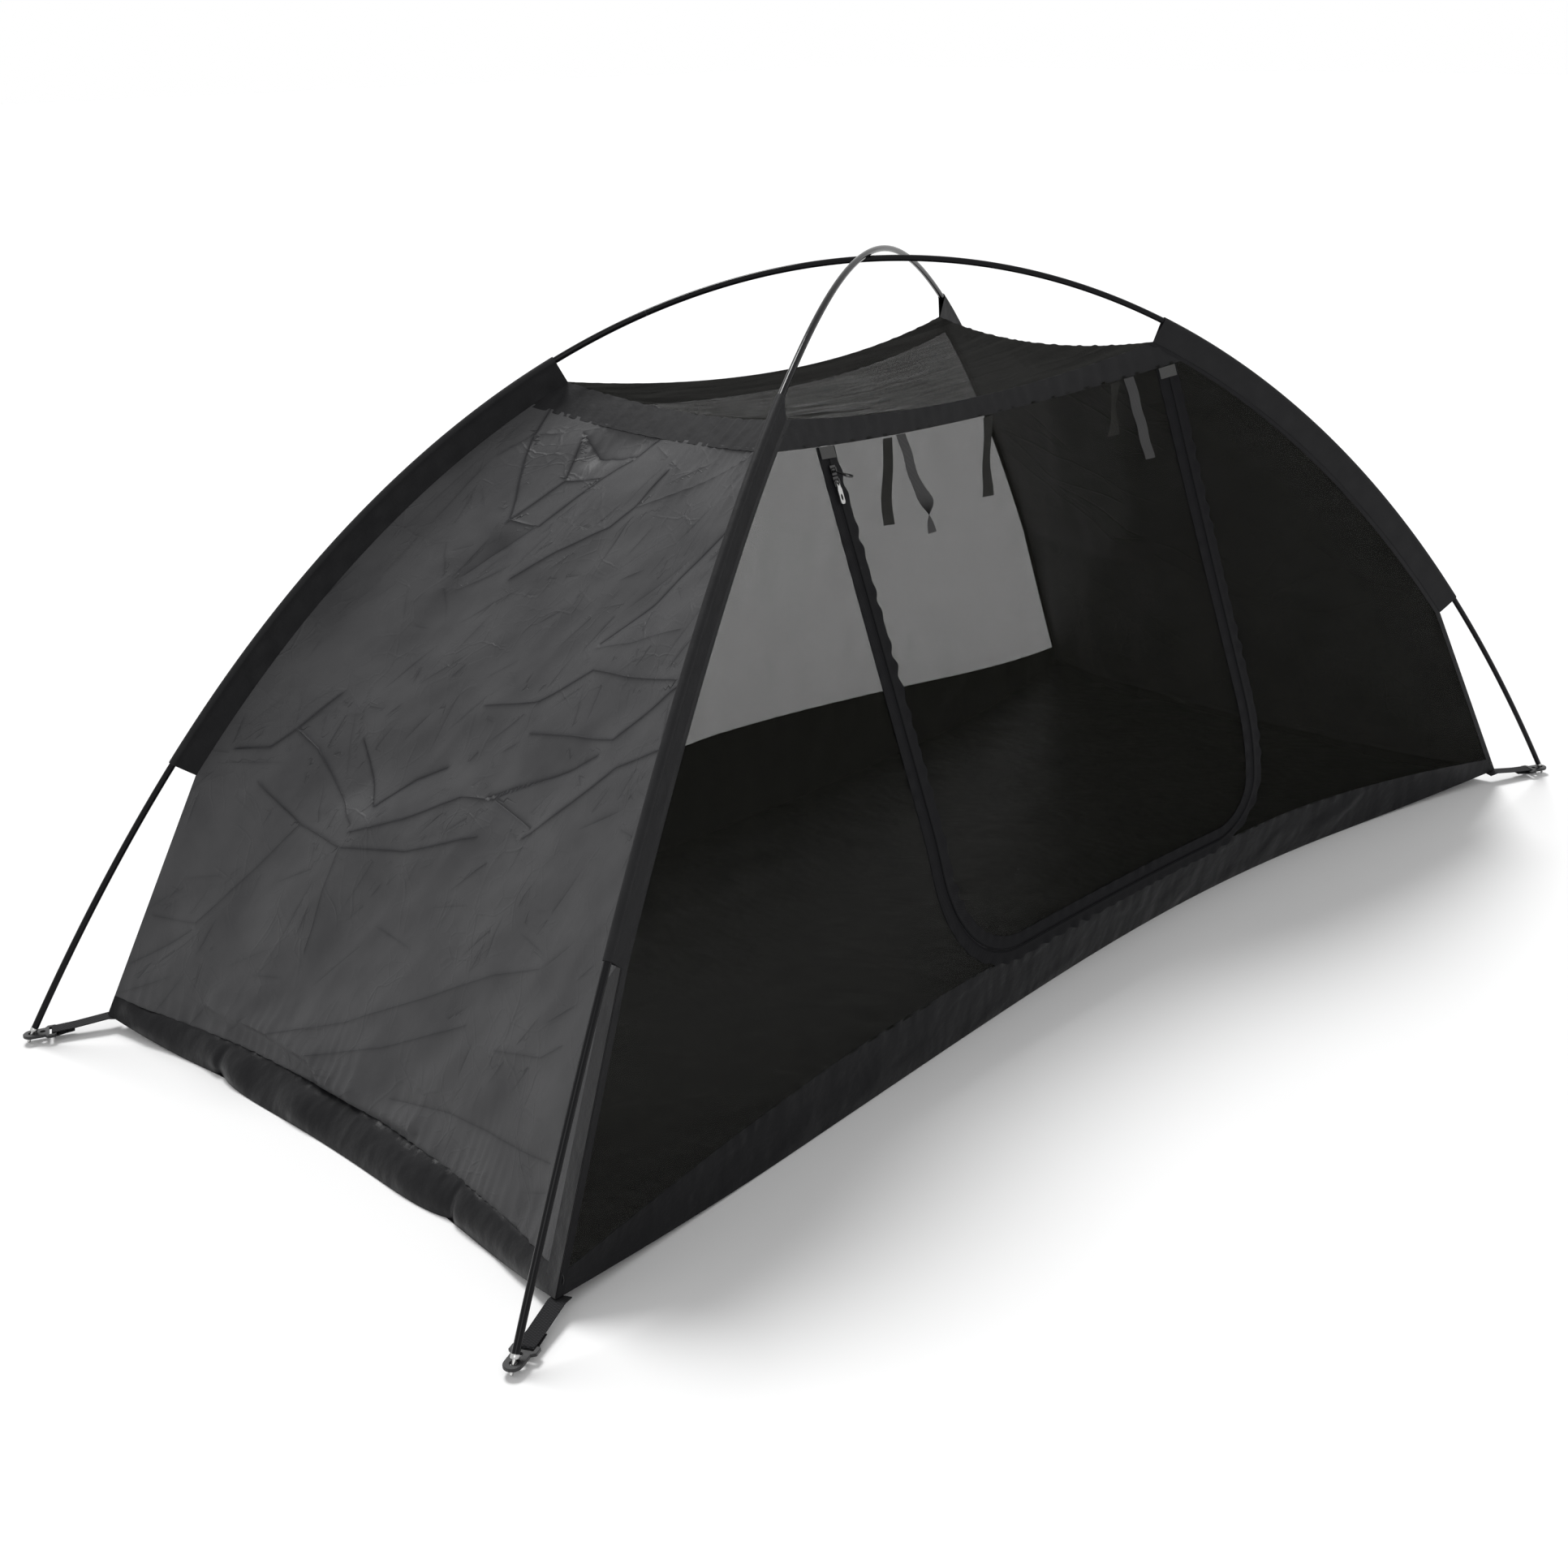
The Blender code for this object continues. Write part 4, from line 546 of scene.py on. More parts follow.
def waves(u, v, seed, count, length, lean, fan, sharp=0.0):
    """Soft folds: a sum of sine waves with seeded phases, whose crests lie near one lean (radians from u),
    within a fan of leans. A sharp share of each wave is folded over at its crest, as creased cloth is."""
    dice = np.random.default_rng(seed)
    total = np.zeros(np.broadcast(u, v).shape)
    for _ in range(count):
        turn = lean + fan * (dice.random() - 0.5)
        size = length * (0.6 + 0.9 * dice.random())
        phase = 2.0 * math.pi * dice.random()
        away = (v * math.cos(turn) - u * math.sin(turn)) / size * 2.0 * math.pi + phase
        away = away + 0.8 * np.sin((u * math.cos(turn) + v * math.sin(turn)) / size * 1.7 + phase * 2.0)
        total += (1.0 - sharp) * np.sin(away) + sharp * (1.0 - 2.0 * np.abs(np.sin(away / 2.0)))
    return total / math.sqrt(count)


coated, tree, shader, coords = new_finish("black_groundsheet", 0.34, 0.0, 0.12)
cloud = add_node(tree, "ShaderNodeTexNoise", coords.outputs["UV"], None, 14.0, 6.0)
thread = add_node(tree, "ShaderNodeTexWave", coords.outputs["UV"], 420.0, 0.3, bands_direction="X")
pick = add_node(tree, "ShaderNodeTexWave", coords.outputs["UV"], 420.0, 0.3, bands_direction="Y")
cloth_weave = add_node(tree, "ShaderNodeMath", thread.outputs[1], pick.outputs[1], operation="ADD")
tint(tree, shader, cloud.outputs[0], (0.004, 0.004, 0.005), (0.010, 0.010, 0.011))
tree.links.new(spread(tree, cloud.outputs[0], 0.22, 0.42), shader.inputs["Roughness"])
drawn = add_node(tree, "ShaderNodeMapping", coords.outputs["UV"], None, (0.0, 0.0, 0.5), (19.0, 11.0, 1.0))
crimp = add_node(tree, "ShaderNodeTexNoise", drawn.outputs[0], None, 1.0, 2.0)
relief(tree, shader, [(cloud.outputs[0], 0.004), (crimp.outputs[0], 0.004),
                      (cloth_weave.outputs[0], 0.00002)])

across, up = np.meshgrid(np.linspace(-1.0, 1.0, 241), np.linspace(-1.0, 1.0, 121))
foot = long_wall(across * BASE_X, np.zeros_like(across), FRONT_SKEW * (up < 0.0))[..., 1]
x = across * (BASE_X - END_BASE_BOW * (1.0 - up ** 2) + foot_bulge(up))
rise = GROUND_CLEAR + BASE_CORNER_LIFT * raised(across) * raised(up)
inner = (1.0 - across ** 12) * (1.0 - up ** 12)
folds = waves(x, up * foot, seed=5, count=7, length=0.34, lean=0.5, fan=2.6, sharp=0.4)
slack = np.maximum(0.0, folds) * SLACK_DEPTH * inner
add_cloth("floor_cloth", np.stack([x, up * foot, rise + slack], axis=-1), CLOTH, coated, "tent",
          ["groundsheet"])


# Tub walls
# Four low walls of the same coated cloth stand up from the groundsheet's edge. They are gathered a little
# where the panels above them are sewn on, and each end wall has a tuck near either corner.
HEM = 0.0009
LAP = 0.003
BINDING_WIDTH = 0.010
SILL_MIDDLE = 0.078
SILL_CORNER = 0.024
END_SILL_MIDDLE = 0.038
BACK_SILL_MIDDLE = 0.142
BACK_SILL_CORNER = 0.037
SILL_FLAT_SHARE = 0.42
SILL_BILLOW = 0.010
LONG_GATHER, LONG_SLUMP = 0.0009, 0.0034
END_GATHER, END_SLUMP = 0.0010, 0.0030
TUCK_DEPTH = 0.0030
TUCK_SHARE = 0.52
TUCK_HALF_SHARE = 0.012
SILL_UNDER_PANEL = 0.0040


def sill_height(share, middle):
    """A tub wall's top edge: level across the middle, then falling with the square towards the corners."""
    ramp = np.maximum(0.0, (np.abs(share) - SILL_FLAT_SHARE) / (1.0 - SILL_FLAT_SHARE))
    return SILL_CORNER + (middle - SILL_CORNER) * (1.0 - ramp ** 2)


def back_sill(share):
    """The back tub wall's top edge, which falls with the power 1.5 from its middle to the corners."""
    return BACK_SILL_CORNER + (BACK_SILL_MIDDLE - BACK_SILL_CORNER) * (1.0 - np.abs(share) ** 1.5)


def pushed(grid, push, outward):
    """A grid moved along its normals, which are first turned to the side of a given direction."""
    normal = grid_normals(grid)
    normal = normal * np.sign((normal @ np.asarray(outward, dtype=float)).mean())
    return grid + normal * push[..., None]


def gathers(along, seed, pitch):
    """Irregular gathers along a seam: narrow ridges where a wave of uneven pitch crests, in patches of uneven
    height."""
    dice = np.random.default_rng(seed)
    phase = dice.random(3) * 2.0 * math.pi
    place = (along / pitch + 0.7 * np.sin(along / (pitch * 3.1) + phase[0])
             + 0.4 * np.sin(along / (pitch * 1.3) + phase[1]))
    patch = 0.35 + 0.65 * np.sin(along / (pitch * 2.3) + phase[2]) ** 2
    return (1.0 - 2.0 * np.abs(np.sin(math.pi * place)) ** 0.7) * patch


part = np.linspace(0.0, 1.0, 25)[:, None]
share = np.linspace(-1.0, 1.0, 481)
for side_name, y_sign, sill, skew in (("front", -1.0, sill_height(share, SILL_MIDDLE), FRONT_SKEW),
                                      ("back", 1.0, back_sill(share), 0.0)):
    height = GROUND_CLEAR + (sill - GROUND_CLEAR) * part
    grid = long_wall(share * (edge_at(height)[0] - BINDING_WIDTH + LAP), height, skew) * (1.0, y_sign, 1.0)
    gather = gathers(grid[..., 0], 11, 0.034) * LONG_GATHER * part ** 4
    folds = waves(grid[..., 0], height * 2.0, seed=12, count=6, length=0.20, lean=0.5, fan=1.8, sharp=0.6)
    slump = np.maximum(folds, -0.4) * LONG_SLUMP * np.sin(math.pi * part)
    grid = pushed(grid, (gather + slump) * (1.0 - np.abs(share) ** 8), (0.0, y_sign, 0.0))
    add_cloth(f"low_wall_{side_name}", grid, HEM, coated, "tent",
              [f"tub_wall_{side_name}"])
share = np.linspace(-1.0, 1.0, 301)
for side_name, x_sign in (("left", -1.0), ("right", 1.0)):
    height = GROUND_CLEAR + (sill_height(share, END_SILL_MIDDLE) - GROUND_CLEAR) * part
    grid = end_wall(share * edge_at(height)[1], height)
    grid[..., 0] += SILL_BILLOW * np.sin(math.pi * part) * (1.0 - share ** 4)
    grid[..., 0] += foot_bulge(share) * (1.0 - part)
    grid = grid * (x_sign, 1.0, 1.0)
    gather = gathers(grid[..., 1], 13, 0.030) * END_GATHER * part ** 4
    pinch = np.exp(-((np.abs(share) - TUCK_SHARE) / TUCK_HALF_SHARE) ** 2)
    tuck = TUCK_DEPTH * pinch * (1.0 - part ** 4)
    folds = waves(grid[..., 1], height * 2.0, seed=14, count=5, length=0.13, lean=1.0, fan=1.4, sharp=0.6)
    push = gather + folds * END_SLUMP * np.sin(math.pi * part) - tuck - SILL_UNDER_PANEL * part ** 9
    grid = pushed(grid, push * (1.0 - np.abs(share) ** 8), (x_sign, 0.0, 0.0))
    add_cloth(f"low_wall_{side_name}", grid, HEM, coated, "tent",
              [f"tub_wall_{side_name}"])


# End panels
# Each end is closed by one opaque panel of thin dark grey polyester taffeta, gathered under its top seam. The
# left one shows the creases in which it was packed. They are lines of points in centimetres: the place across
# the panel, counted from its middle to the back, and the height above the base corner.
SHARP_CREASES = (
    ((32, 31), (24, 28), (15, 27), (4, 29), (-7, 33)),
    ((14, 29), (6, 32), (-2, 36), (-7, 37)),
    ((19, 38), (16, 35), (13, 32), (8, 36), (4, 38)),
    ((38, 34), (33, 35), (30, 37.5), (26, 42)),
    ((30, 37.5), (25, 36), (15, 30)),
    ((-15, 36), (-7, 37), (-17, 42)),
    ((20, 75), (19, 71), (14, 63), (9, 63), (4, 69)),
    ((14, 63), (10, 68), (12, 72.5)),
    ((12, 72.5), (8, 71), (1, 71.5)),
    ((10, 68), (4, 69), (1, 71.5), (-1, 75.5)),
    ((8, 57.5), (3, 61), (-3, 64.5), (-5, 67), (-6, 70.5)),
    ((-13, 54), (-18, 59), (-24, 67)),
    ((1, 45), (-7, 47), (-14.5, 51.5), (-21, 52), (-30, 53.5)),
    ((-9, 44), (-18, 45.5), (-24, 46.5), (-31, 53)),
    ((-6, 37), (-15, 41), (-22, 44.5)),
    ((-15, 35), (-22, 40), (-27, 44.5), (-33, 47.5)),
)
FAINT_CREASES = (
    ((15, 27), (16, 22), (16.5, 15.5)),
    ((44, 13), (36.5, 14), (24, 28)),
    ((45.5, 7), (37, 13)),
    ((18, 6), (5, 10.5), (-7, 16), (-19, 22), (-27, 25)),
    ((9, 6), (-3, 10), (-16, 16)),
    ((-7, 6), (-18, 8), (-29, 9), (-38, 10)),
    ((-24, 16), (-32, 18), (-35, 20)),
    ((22, 69), (19, 71.5), (16, 72)),
    ((16.5, 57), (13, 60.5), (9, 63)),
    ((-5.5, 67), (-19, 73.5)),
    ((-13, 53.5), (-19, 55), (-26, 57.5)),
)
FOOT_FOLD = ((30, 6), (19, 6), (9, 5.5), (6, 4), (-2, 4), (-12, 4.5))
CENTIMETRES = 100.0
CREASE_WIDTH = 0.0020
CREASE_REACH = 0.010
CREASE_FADE = 0.005
CREASE_END_SPREAD = 0.00004
SHARP_RISE = 0.0019
FAINT_RISE = 0.0009
SMALL_CREASES = 230
SMALL_ACROSS = (-0.42, 0.42)
SMALL_FOOT, SMALL_RUN = 0.03, 0.70
SMALL_SCATTER = 0.55
SMALL_RISE = (0.0003, 0.0010)
SMALL_LENGTH = (0.02, 0.12)
SMALL_CLEAR = 0.009
FOLD_WIDTH = 0.024
FOLD_DEPTH = 0.0052
LIP_DEPTH = 0.0070
LIP_WIDTH = 0.016
LIP_STEP_WIDTH = 0.003
MAIN_FOLDS = -0.9
BROAD_DEPTH = 0.0050
FINE_DEPTH = 0.0008
TOP_GATHER = 0.0030
FOOT_GATHER = 0.0034
EDGE_BAND = 0.026
BAND_RAMP = 0.02
FOOT_LAP = 0.010
TUCK_IN = 0.005
TUCK_RAMP = 0.004
RIGHT_CREASE_SHARE = 0.5

taffeta, tree, shader, coords = new_finish("grey_polyester", 0.5, 0.0, 0.12)
cloud = add_node(tree, "ShaderNodeTexNoise", coords.outputs["UV"], None, 9.0, 5.0)
thread = add_node(tree, "ShaderNodeTexWave", coords.outputs["UV"], 520.0, 0.3, bands_direction="X")
pick = add_node(tree, "ShaderNodeTexWave", coords.outputs["UV"], 520.0, 0.3, bands_direction="Y")
cloth_weave = add_node(tree, "ShaderNodeMath", thread.outputs[1], pick.outputs[1], operation="ADD")
crease_map = add_node(tree, "ShaderNodeUVMap", uv_map="creases")
mapped = add_node(tree, "ShaderNodeSeparateXYZ", crease_map.outputs[0])
aside = add_node(tree, "ShaderNodeMath", mapped.outputs[0], operation="ABSOLUTE")
fall = add_node(tree, "ShaderNodeMath", aside.outputs[0], -1.0 / CREASE_WIDTH, operation="MULTIPLY")
sharp = add_node(tree, "ShaderNodeMath", fall.outputs[0], operation="EXPONENT")
crease = add_node(tree, "ShaderNodeMath", sharp.outputs[0], mapped.outputs[1], operation="MULTIPLY")
warp = add_node(tree, "ShaderNodeTexNoise", coords.outputs["UV"], None, 7.0, 2.0)
bent = add_node(tree, "ShaderNodeVectorMath", warp.outputs[1], (0.08, 0.08, 0.0), coords.outputs["UV"],
                operation="MULTIPLY_ADD")
patches = add_node(tree, "ShaderNodeTexNoise", coords.outputs["UV"], None, 10.0, 2.0)
patchy = add_node(tree, "ShaderNodeMapRange", patches.outputs[0], 0.42, 0.62)
crumple = []
for cells in (14.0, 37.0):
    crackle = add_node(tree, "ShaderNodeTexVoronoi", bent.outputs[0], None, cells, feature="DISTANCE_TO_EDGE")
    ridge = add_node(tree, "ShaderNodeMapRange", crackle.outputs[0], 0.0, 0.0022 * cells, 1.0, 0.0)
    crumple.append(add_node(tree, "ShaderNodeMath", ridge.outputs[0], patchy.outputs[0],
                            operation="MULTIPLY"))
# Painted shade: the base colour is darkened along each crease, the more the deeper it is, on top of the
# cloud's random tone.
crease_shade = add_node(tree, "ShaderNodeMath", crease.outputs[0], operation="ABSOLUTE")
shade = add_node(tree, "ShaderNodeMath", crease_shade.outputs[0], -340.0, cloud.outputs[0],
                 operation="MULTIPLY_ADD")
tint(tree, shader, shade.outputs[0], (0.028, 0.028, 0.030), (0.088, 0.088, 0.090))
tree.links.new(spread(tree, cloud.outputs[0], 0.38, 0.54), shader.inputs["Roughness"])
relief(tree, shader, [(cloud.outputs[0], 0.002), (crease.outputs[0], 1.0), (crumple[0].outputs[0], 0.0005),
                      (crumple[1].outputs[0], 0.0003), (cloth_weave.outputs[0], 0.00002)])


def away_from(across, up, start, end):
    """Distance from a line between two points, signed distance from the endless line, and the share of its
    length passed so far."""
    length = math.hypot(*(end - start))
    line = (end - start) / length
    run = (across - start[0]) * line[0] + (up - start[1]) * line[1]
    side = (up - start[1]) * line[0] - (across - start[0]) * line[1]
    return np.hypot(side, np.maximum(np.maximum(-run, run - length), 0.0)), side, run / length


def crease_list():
    """Each crease's start, end and rise, and whether it is a main one. First come the sharp and faint ones in
    the tables, every third of which sinks, then small ones in seeded places, mostly along the main folds."""
    creases = []
    for table, rise in ((SHARP_CREASES, SHARP_RISE), (FAINT_CREASES, FAINT_RISE)):
        for number, points in enumerate(table):
            points = np.array(points) / CENTIMETRES
            for pair in zip(points, points[1:]):
                start, end = sorted(pair, key=lambda point: point[0])
                creases.append((start, end, -rise if number % 3 == 2 else rise, True))
    dice = np.random.default_rng(25)
    for _ in range(SMALL_CREASES):
        start = np.array([dice.uniform(*SMALL_ACROSS), SMALL_FOOT + SMALL_RUN * dice.random() ** 0.7])
        lean = MAIN_FOLDS + dice.normal(0.0, SMALL_SCATTER)
        end = start + dice.uniform(*SMALL_LENGTH) * np.array([math.cos(lean), math.sin(lean)])
        creases.append((start, end, dice.uniform(*SMALL_RISE) * dice.choice([-1.0, 1.0]), False))
    return creases


def crease_push(across, up):
    """How far the panel is pushed out by its creases, and each place's marks for the finish. Over each main
    crease stands a broad soft ridge, exp(-distance / width). The marks are the nearest crease's signed
    distance and its rise, for the sharp edge that the finish draws. A small crease fades towards both ends.
    The foot's fold is a lip over a step."""
    push = np.zeros_like(across)
    nearest = np.full(across.shape, 1.0)
    aside = np.zeros_like(across)
    rise = np.zeros_like(across)
    for start, end, height, main in crease_list():
        away, side, share = away_from(across, up, start, end)
        if main:
            push += np.sign(height) * np.exp(-away / FOLD_WIDTH)
            fade = np.exp(-(away ** 2 - side ** 2).clip(0.0) / CREASE_END_SPREAD)
        else:
            fade = (4.0 * share * (1.0 - share)).clip(0.0)
        closer = away + (0.0 if main else SMALL_CLEAR) < nearest
        nearest = np.where(closer, away, nearest)
        aside = np.where(closer, side, aside)
        rise = np.where(closer, height * fade * ((CREASE_REACH - away) / CREASE_FADE).clip(0.0, 1.0), rise)
    points = np.array(FOOT_FOLD) / CENTIMETRES
    lip = np.zeros_like(across)
    for start, end in zip(points, points[1:]):
        away, side, _ = away_from(across, up, start, end)
        reach = np.where(side * np.sign(end[0] - start[0]) > 0.0, LIP_WIDTH, LIP_STEP_WIDTH)
        lip = np.maximum(lip, np.exp(-(away / reach) ** 2))
    return FOLD_DEPTH * np.tanh(push) + LIP_DEPTH * lip, np.stack([aside, rise], axis=-1)


for side_name, x_sign, columns, rows in (("left", -1.0, 241, 203), ("right", 1.0, 121, 101)):
    share = np.linspace(-1.0, 1.0, columns)
    low = sill_height(share, END_SILL_MIDDLE) - FOOT_LAP
    rise = np.linspace(0.0, 1.0, rows)[:, None]
    height = low + (STRIP_HEIGHT + LAP - low) * rise
    grid = end_wall(share * edge_at(height)[1], height)
    across = grid[..., 1]
    push, marks = crease_push(-x_sign * across, height)
    push = push * (x_sign < 0)
    push += BROAD_DEPTH * waves(across, height, seed=21, count=7, length=0.17, lean=MAIN_FOLDS, fan=0.7,
                                sharp=0.35)
    push += FINE_DEPTH * waves(across, height, seed=24, count=7, length=0.06, lean=MAIN_FOLDS, fan=1.4,
                               sharp=0.8)
    push += TOP_GATHER * (gathers(across, 22, 0.017) - 1.0) * rise ** 24
    push += FOOT_GATHER * gathers(across, 23, 0.020) * (1.0 - rise) ** 26
    push -= np.maximum(push, 0.0) * rise ** 14
    push *= (1.0 - np.abs(share) ** 16) * (1.0 - rise ** 90) * (1.0 - (1.0 - rise) ** 90)
    push *= np.clip((across + edge_at(height)[1] - EDGE_BAND) / BAND_RAMP, 0.0, 1.0) if x_sign < 0 else 1.0
    tucked = ((low + FOOT_LAP - height) / TUCK_RAMP).clip(0.0, 1.0)
    push = push * (1.0 - tucked) - TUCK_IN * tucked
    grid = pushed(grid * (x_sign, 1.0, 1.0), push, (x_sign, 0.0, 0.0))
    panel = add_cloth(f"end_cloth_{side_name}", grid, CLOTH, taffeta, "tent",
                      [f"end_panel_{side_name}"])
    places = np.empty(len(panel.data.loops), dtype=np.int32)
    panel.data.loops.foreach_get("vertex_index", places)
    # The marks go to the creases UV map, which the finish reads for each crease's bump and for the painted
    # shade along it.
    marks = np.tile(marks.reshape(-1, 2) * (1.0, 1.0 if x_sign < 0 else RIGHT_CREASE_SHARE), (2, 1))
    panel.data.uv_layers.new(name="creases").data.foreach_set("uv", marks[places].astype(np.float32).ravel())


# Net walls
# The back, and the front to either side of the door, are fine black mosquito net with holes of about a
# millimetre. It is sewn to the tub walls below and to strips of cloth above.
NET = 0.0003
TAPE_WIDTH = 0.0145
NET_UNDER_TAPE = 0.007
RIGHT_LEG_X = 0.365
LEFT_CORNER_RADIUS = 0.140
RIGHT_CORNER_RADIUS = 0.080
ZIP_FOOT = SILL_MIDDLE + TAPE_WIDTH - NET_UNDER_TAPE
NET_INSET = TAPE_WIDTH - NET_UNDER_TAPE
NET_MESH = 0.0013
THREAD_HALF_SHARE = 0.13
BACK_NET_FOLDS = 0.0012
FRONT_NET_FOLDS = 0.0010

mesh_cloth, tree, shader, coords = new_finish("mosquito_net", 0.8, 0.0, 0.0)
split = add_node(tree, "ShaderNodeSeparateXYZ", coords.outputs["UV"])
threads = []
for axis in range(2):
    turns = add_node(tree, "ShaderNodeMath", split.outputs[axis], 1.0 / NET_MESH, operation="MULTIPLY")
    fold = add_node(tree, "ShaderNodeMath", turns.outputs[0], 0.5, operation="PINGPONG")
    thread = add_node(tree, "ShaderNodeMath", fold.outputs[0], THREAD_HALF_SHARE, operation="LESS_THAN")
    threads.append(thread.outputs[0])
lattice = add_node(tree, "ShaderNodeMath", *threads, operation="MAXIMUM")
streak = add_node(tree, "ShaderNodeMapping", coords.outputs["UV"], None, None, (38.0, 5.0, 1.0))
dense = add_node(tree, "ShaderNodeTexNoise", streak.outputs[0], None, 1.0, 4.0)
cover = add_node(tree, "ShaderNodeMath", lattice.outputs[0], 0.10, spread(tree, dense.outputs[0], 0.31, 0.37),
                 operation="MULTIPLY_ADD")
tree.links.new(cover.outputs[0], shader.inputs["Alpha"])
tint(tree, shader, dense.outputs[0], (0.012, 0.012, 0.0103), (0.022, 0.022, 0.0190))


def front_wall(x, height, out=0.0):
    """A point of the front wall, moved out from the cloth by a distance."""
    point = long_wall(x, height, FRONT_SKEW)
    across = long_wall(np.asarray(x) + POLE_RADIUS, height, FRONT_SKEW) - point
    rise = long_wall(x, np.asarray(height) + POLE_RADIUS, FRONT_SKEW) - point
    outward = unit(np.cross(rise, across))
    return (point + outward * np.asarray(out)[..., None]) * (1.0, -1.0, 1.0)


def zip_line(height, inset):
    """Where the door's two edges lie at a height, an inset in from the zip's middle: straight legs and round
    corners."""
    left_radius = LEFT_CORNER_RADIUS - inset
    right_radius = RIGHT_CORNER_RADIUS - inset
    left_fall = np.clip(ZIP_FOOT + LEFT_CORNER_RADIUS - height, 0.0, left_radius)
    right_fall = np.clip(ZIP_FOOT + RIGHT_CORNER_RADIUS - height, 0.0, right_radius)
    return (LEFT_CORNER_RADIUS - LEG_X - np.sqrt(left_radius ** 2 - left_fall ** 2),
            RIGHT_LEG_X - RIGHT_CORNER_RADIUS + np.sqrt(right_radius ** 2 - right_fall ** 2))


def net_folds(grid, seed, depth):
    """Slack net: faint folds that hang down from the strip, and a few that run along the sill."""
    x, z = grid[..., 0], grid[..., 2]
    hanging = waves(x, z, seed, count=7, length=0.12, lean=math.pi / 2.0, fan=0.7, sharp=0.3)
    lying = waves(x, z, seed + 1, count=4, length=0.20, lean=0.2, fan=1.2)
    return depth * (hanging + 0.5 * lying)


part = np.linspace(0.0, 1.0, 121)[:, None]
edge_fade = 1.0 - (2.0 * part - 1.0) ** 20
share = np.linspace(-1.0, 1.0, 221)
low = back_sill(share) - LAP
height = low + (STRIP_HEIGHT + LAP - low) * part
grid = long_wall(share * (edge_at(height)[0] - BINDING_WIDTH + LAP), height)
fade = edge_fade * (1.0 - share ** 20)
grid = pushed(grid, net_folds(grid, 31, BACK_NET_FOLDS) * fade, (0.0, 1.0, 0.0))
add_cloth("net_back", grid, NET, mesh_cloth, "tent", ["back_net"])

share = np.linspace(0.0, 1.0, 101)
for side_name, sign in (("left", -1.0), ("right", 1.0)):
    low = np.full(share.shape, SILL_MIDDLE) - LAP
    # The foot follows the sill, and each column meets the sill at a place that moves with it: found in steps.
    for _ in range(4):
        height = low + (STRIP_HEIGHT + LAP - low) * part
        edges = zip_line(height, -NET_INSET)
        inner = edges[0] if sign < 0 else edges[1]
        outer = sign * (edge_at(height)[0] - BINDING_WIDTH + LAP)
        x = outer + (inner - outer) * share
        low = sill_height(x[0] / BASE_X, SILL_MIDDLE) - LAP
    grid = front_wall(x, height)
    fade = edge_fade * (1.0 - (2.0 * share - 1.0) ** 20)
    grid = pushed(grid, net_folds(grid, 33 + int(sign), FRONT_NET_FOLDS) * fade, (0.0, -1.0, 0.0))
    add_cloth(f"net_front_{side_name}", grid, NET, mesh_cloth, "tent",
              [f"front_net_{side_name}"])


# Door net
# The door is one piece of net inside the zip, made in its closed shape and not attached to the door. It
# turns up about a line under the ties when it is rolled open, where the zip's door tape ends.
FOLD_DROP = 0.142
FOLD_HEIGHT = STRIP_HEIGHT - FOLD_DROP

height = np.linspace(ZIP_FOOT + NET_INSET, STRIP_HEIGHT + LAP, 161)[:, None]
left_edge, right_edge = zip_line(height, NET_INSET)
share = np.linspace(0.0, 1.0, 161)
grid = front_wall(left_edge + (right_edge - left_edge) * share, height * np.ones_like(share))
part = (height - height[0]) / (height[-1] - height[0])
fade = (1.0 - (2.0 * part - 1.0) ** 20) * (1.0 - (2.0 * share - 1.0) ** 20)
grid = pushed(grid, net_folds(grid, 36, FRONT_NET_FOLDS) * fade, (0.0, -1.0, 0.0))
door_net = add_cloth("net_door", grid, NET, mesh_cloth, None, ["door_flap", "door_header"])
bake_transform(door_net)


# Zip
# A black coil zip runs down the left leg, along the sill and up the right leg. One woven tape is sewn to the
# cabin, the other to the door. A patch of grey cloth covers each end.
SEAM = 0.0008
TAPE_THICKNESS = 0.0010
TAPE_EDGE = 0.0180
COIL_WIDTH = 0.0026
COIL_HEIGHT = 0.0020
FLAT_TAPE = 0.0095
ZIP_GAP = 0.0012
TAPE_OUT = 0.0014
TOOTH_PITCH = 0.0016
COIL_ROUND = 0.0004
TOOTH_DIP = 0.0006
TAPE_RIPPLE = 0.0009
FOLD_GAP = 0.0001
PATCH_LENGTH = 0.013
PATCH_THICKNESS = 0.0006

tape_cloth, tree, shader, coords = new_finish("zip_tape", 0.6, 0.0, 0.08)
chevron = add_node(tree, "ShaderNodeTexWave", coords.outputs["UV"], 210.0, 0.2, bands_direction="DIAGONAL")
tint(tree, shader, chevron.outputs[1], (0.003, 0.003, 0.004), (0.009, 0.009, 0.010))
relief(tree, shader, [(chevron.outputs[1], 0.00015)])


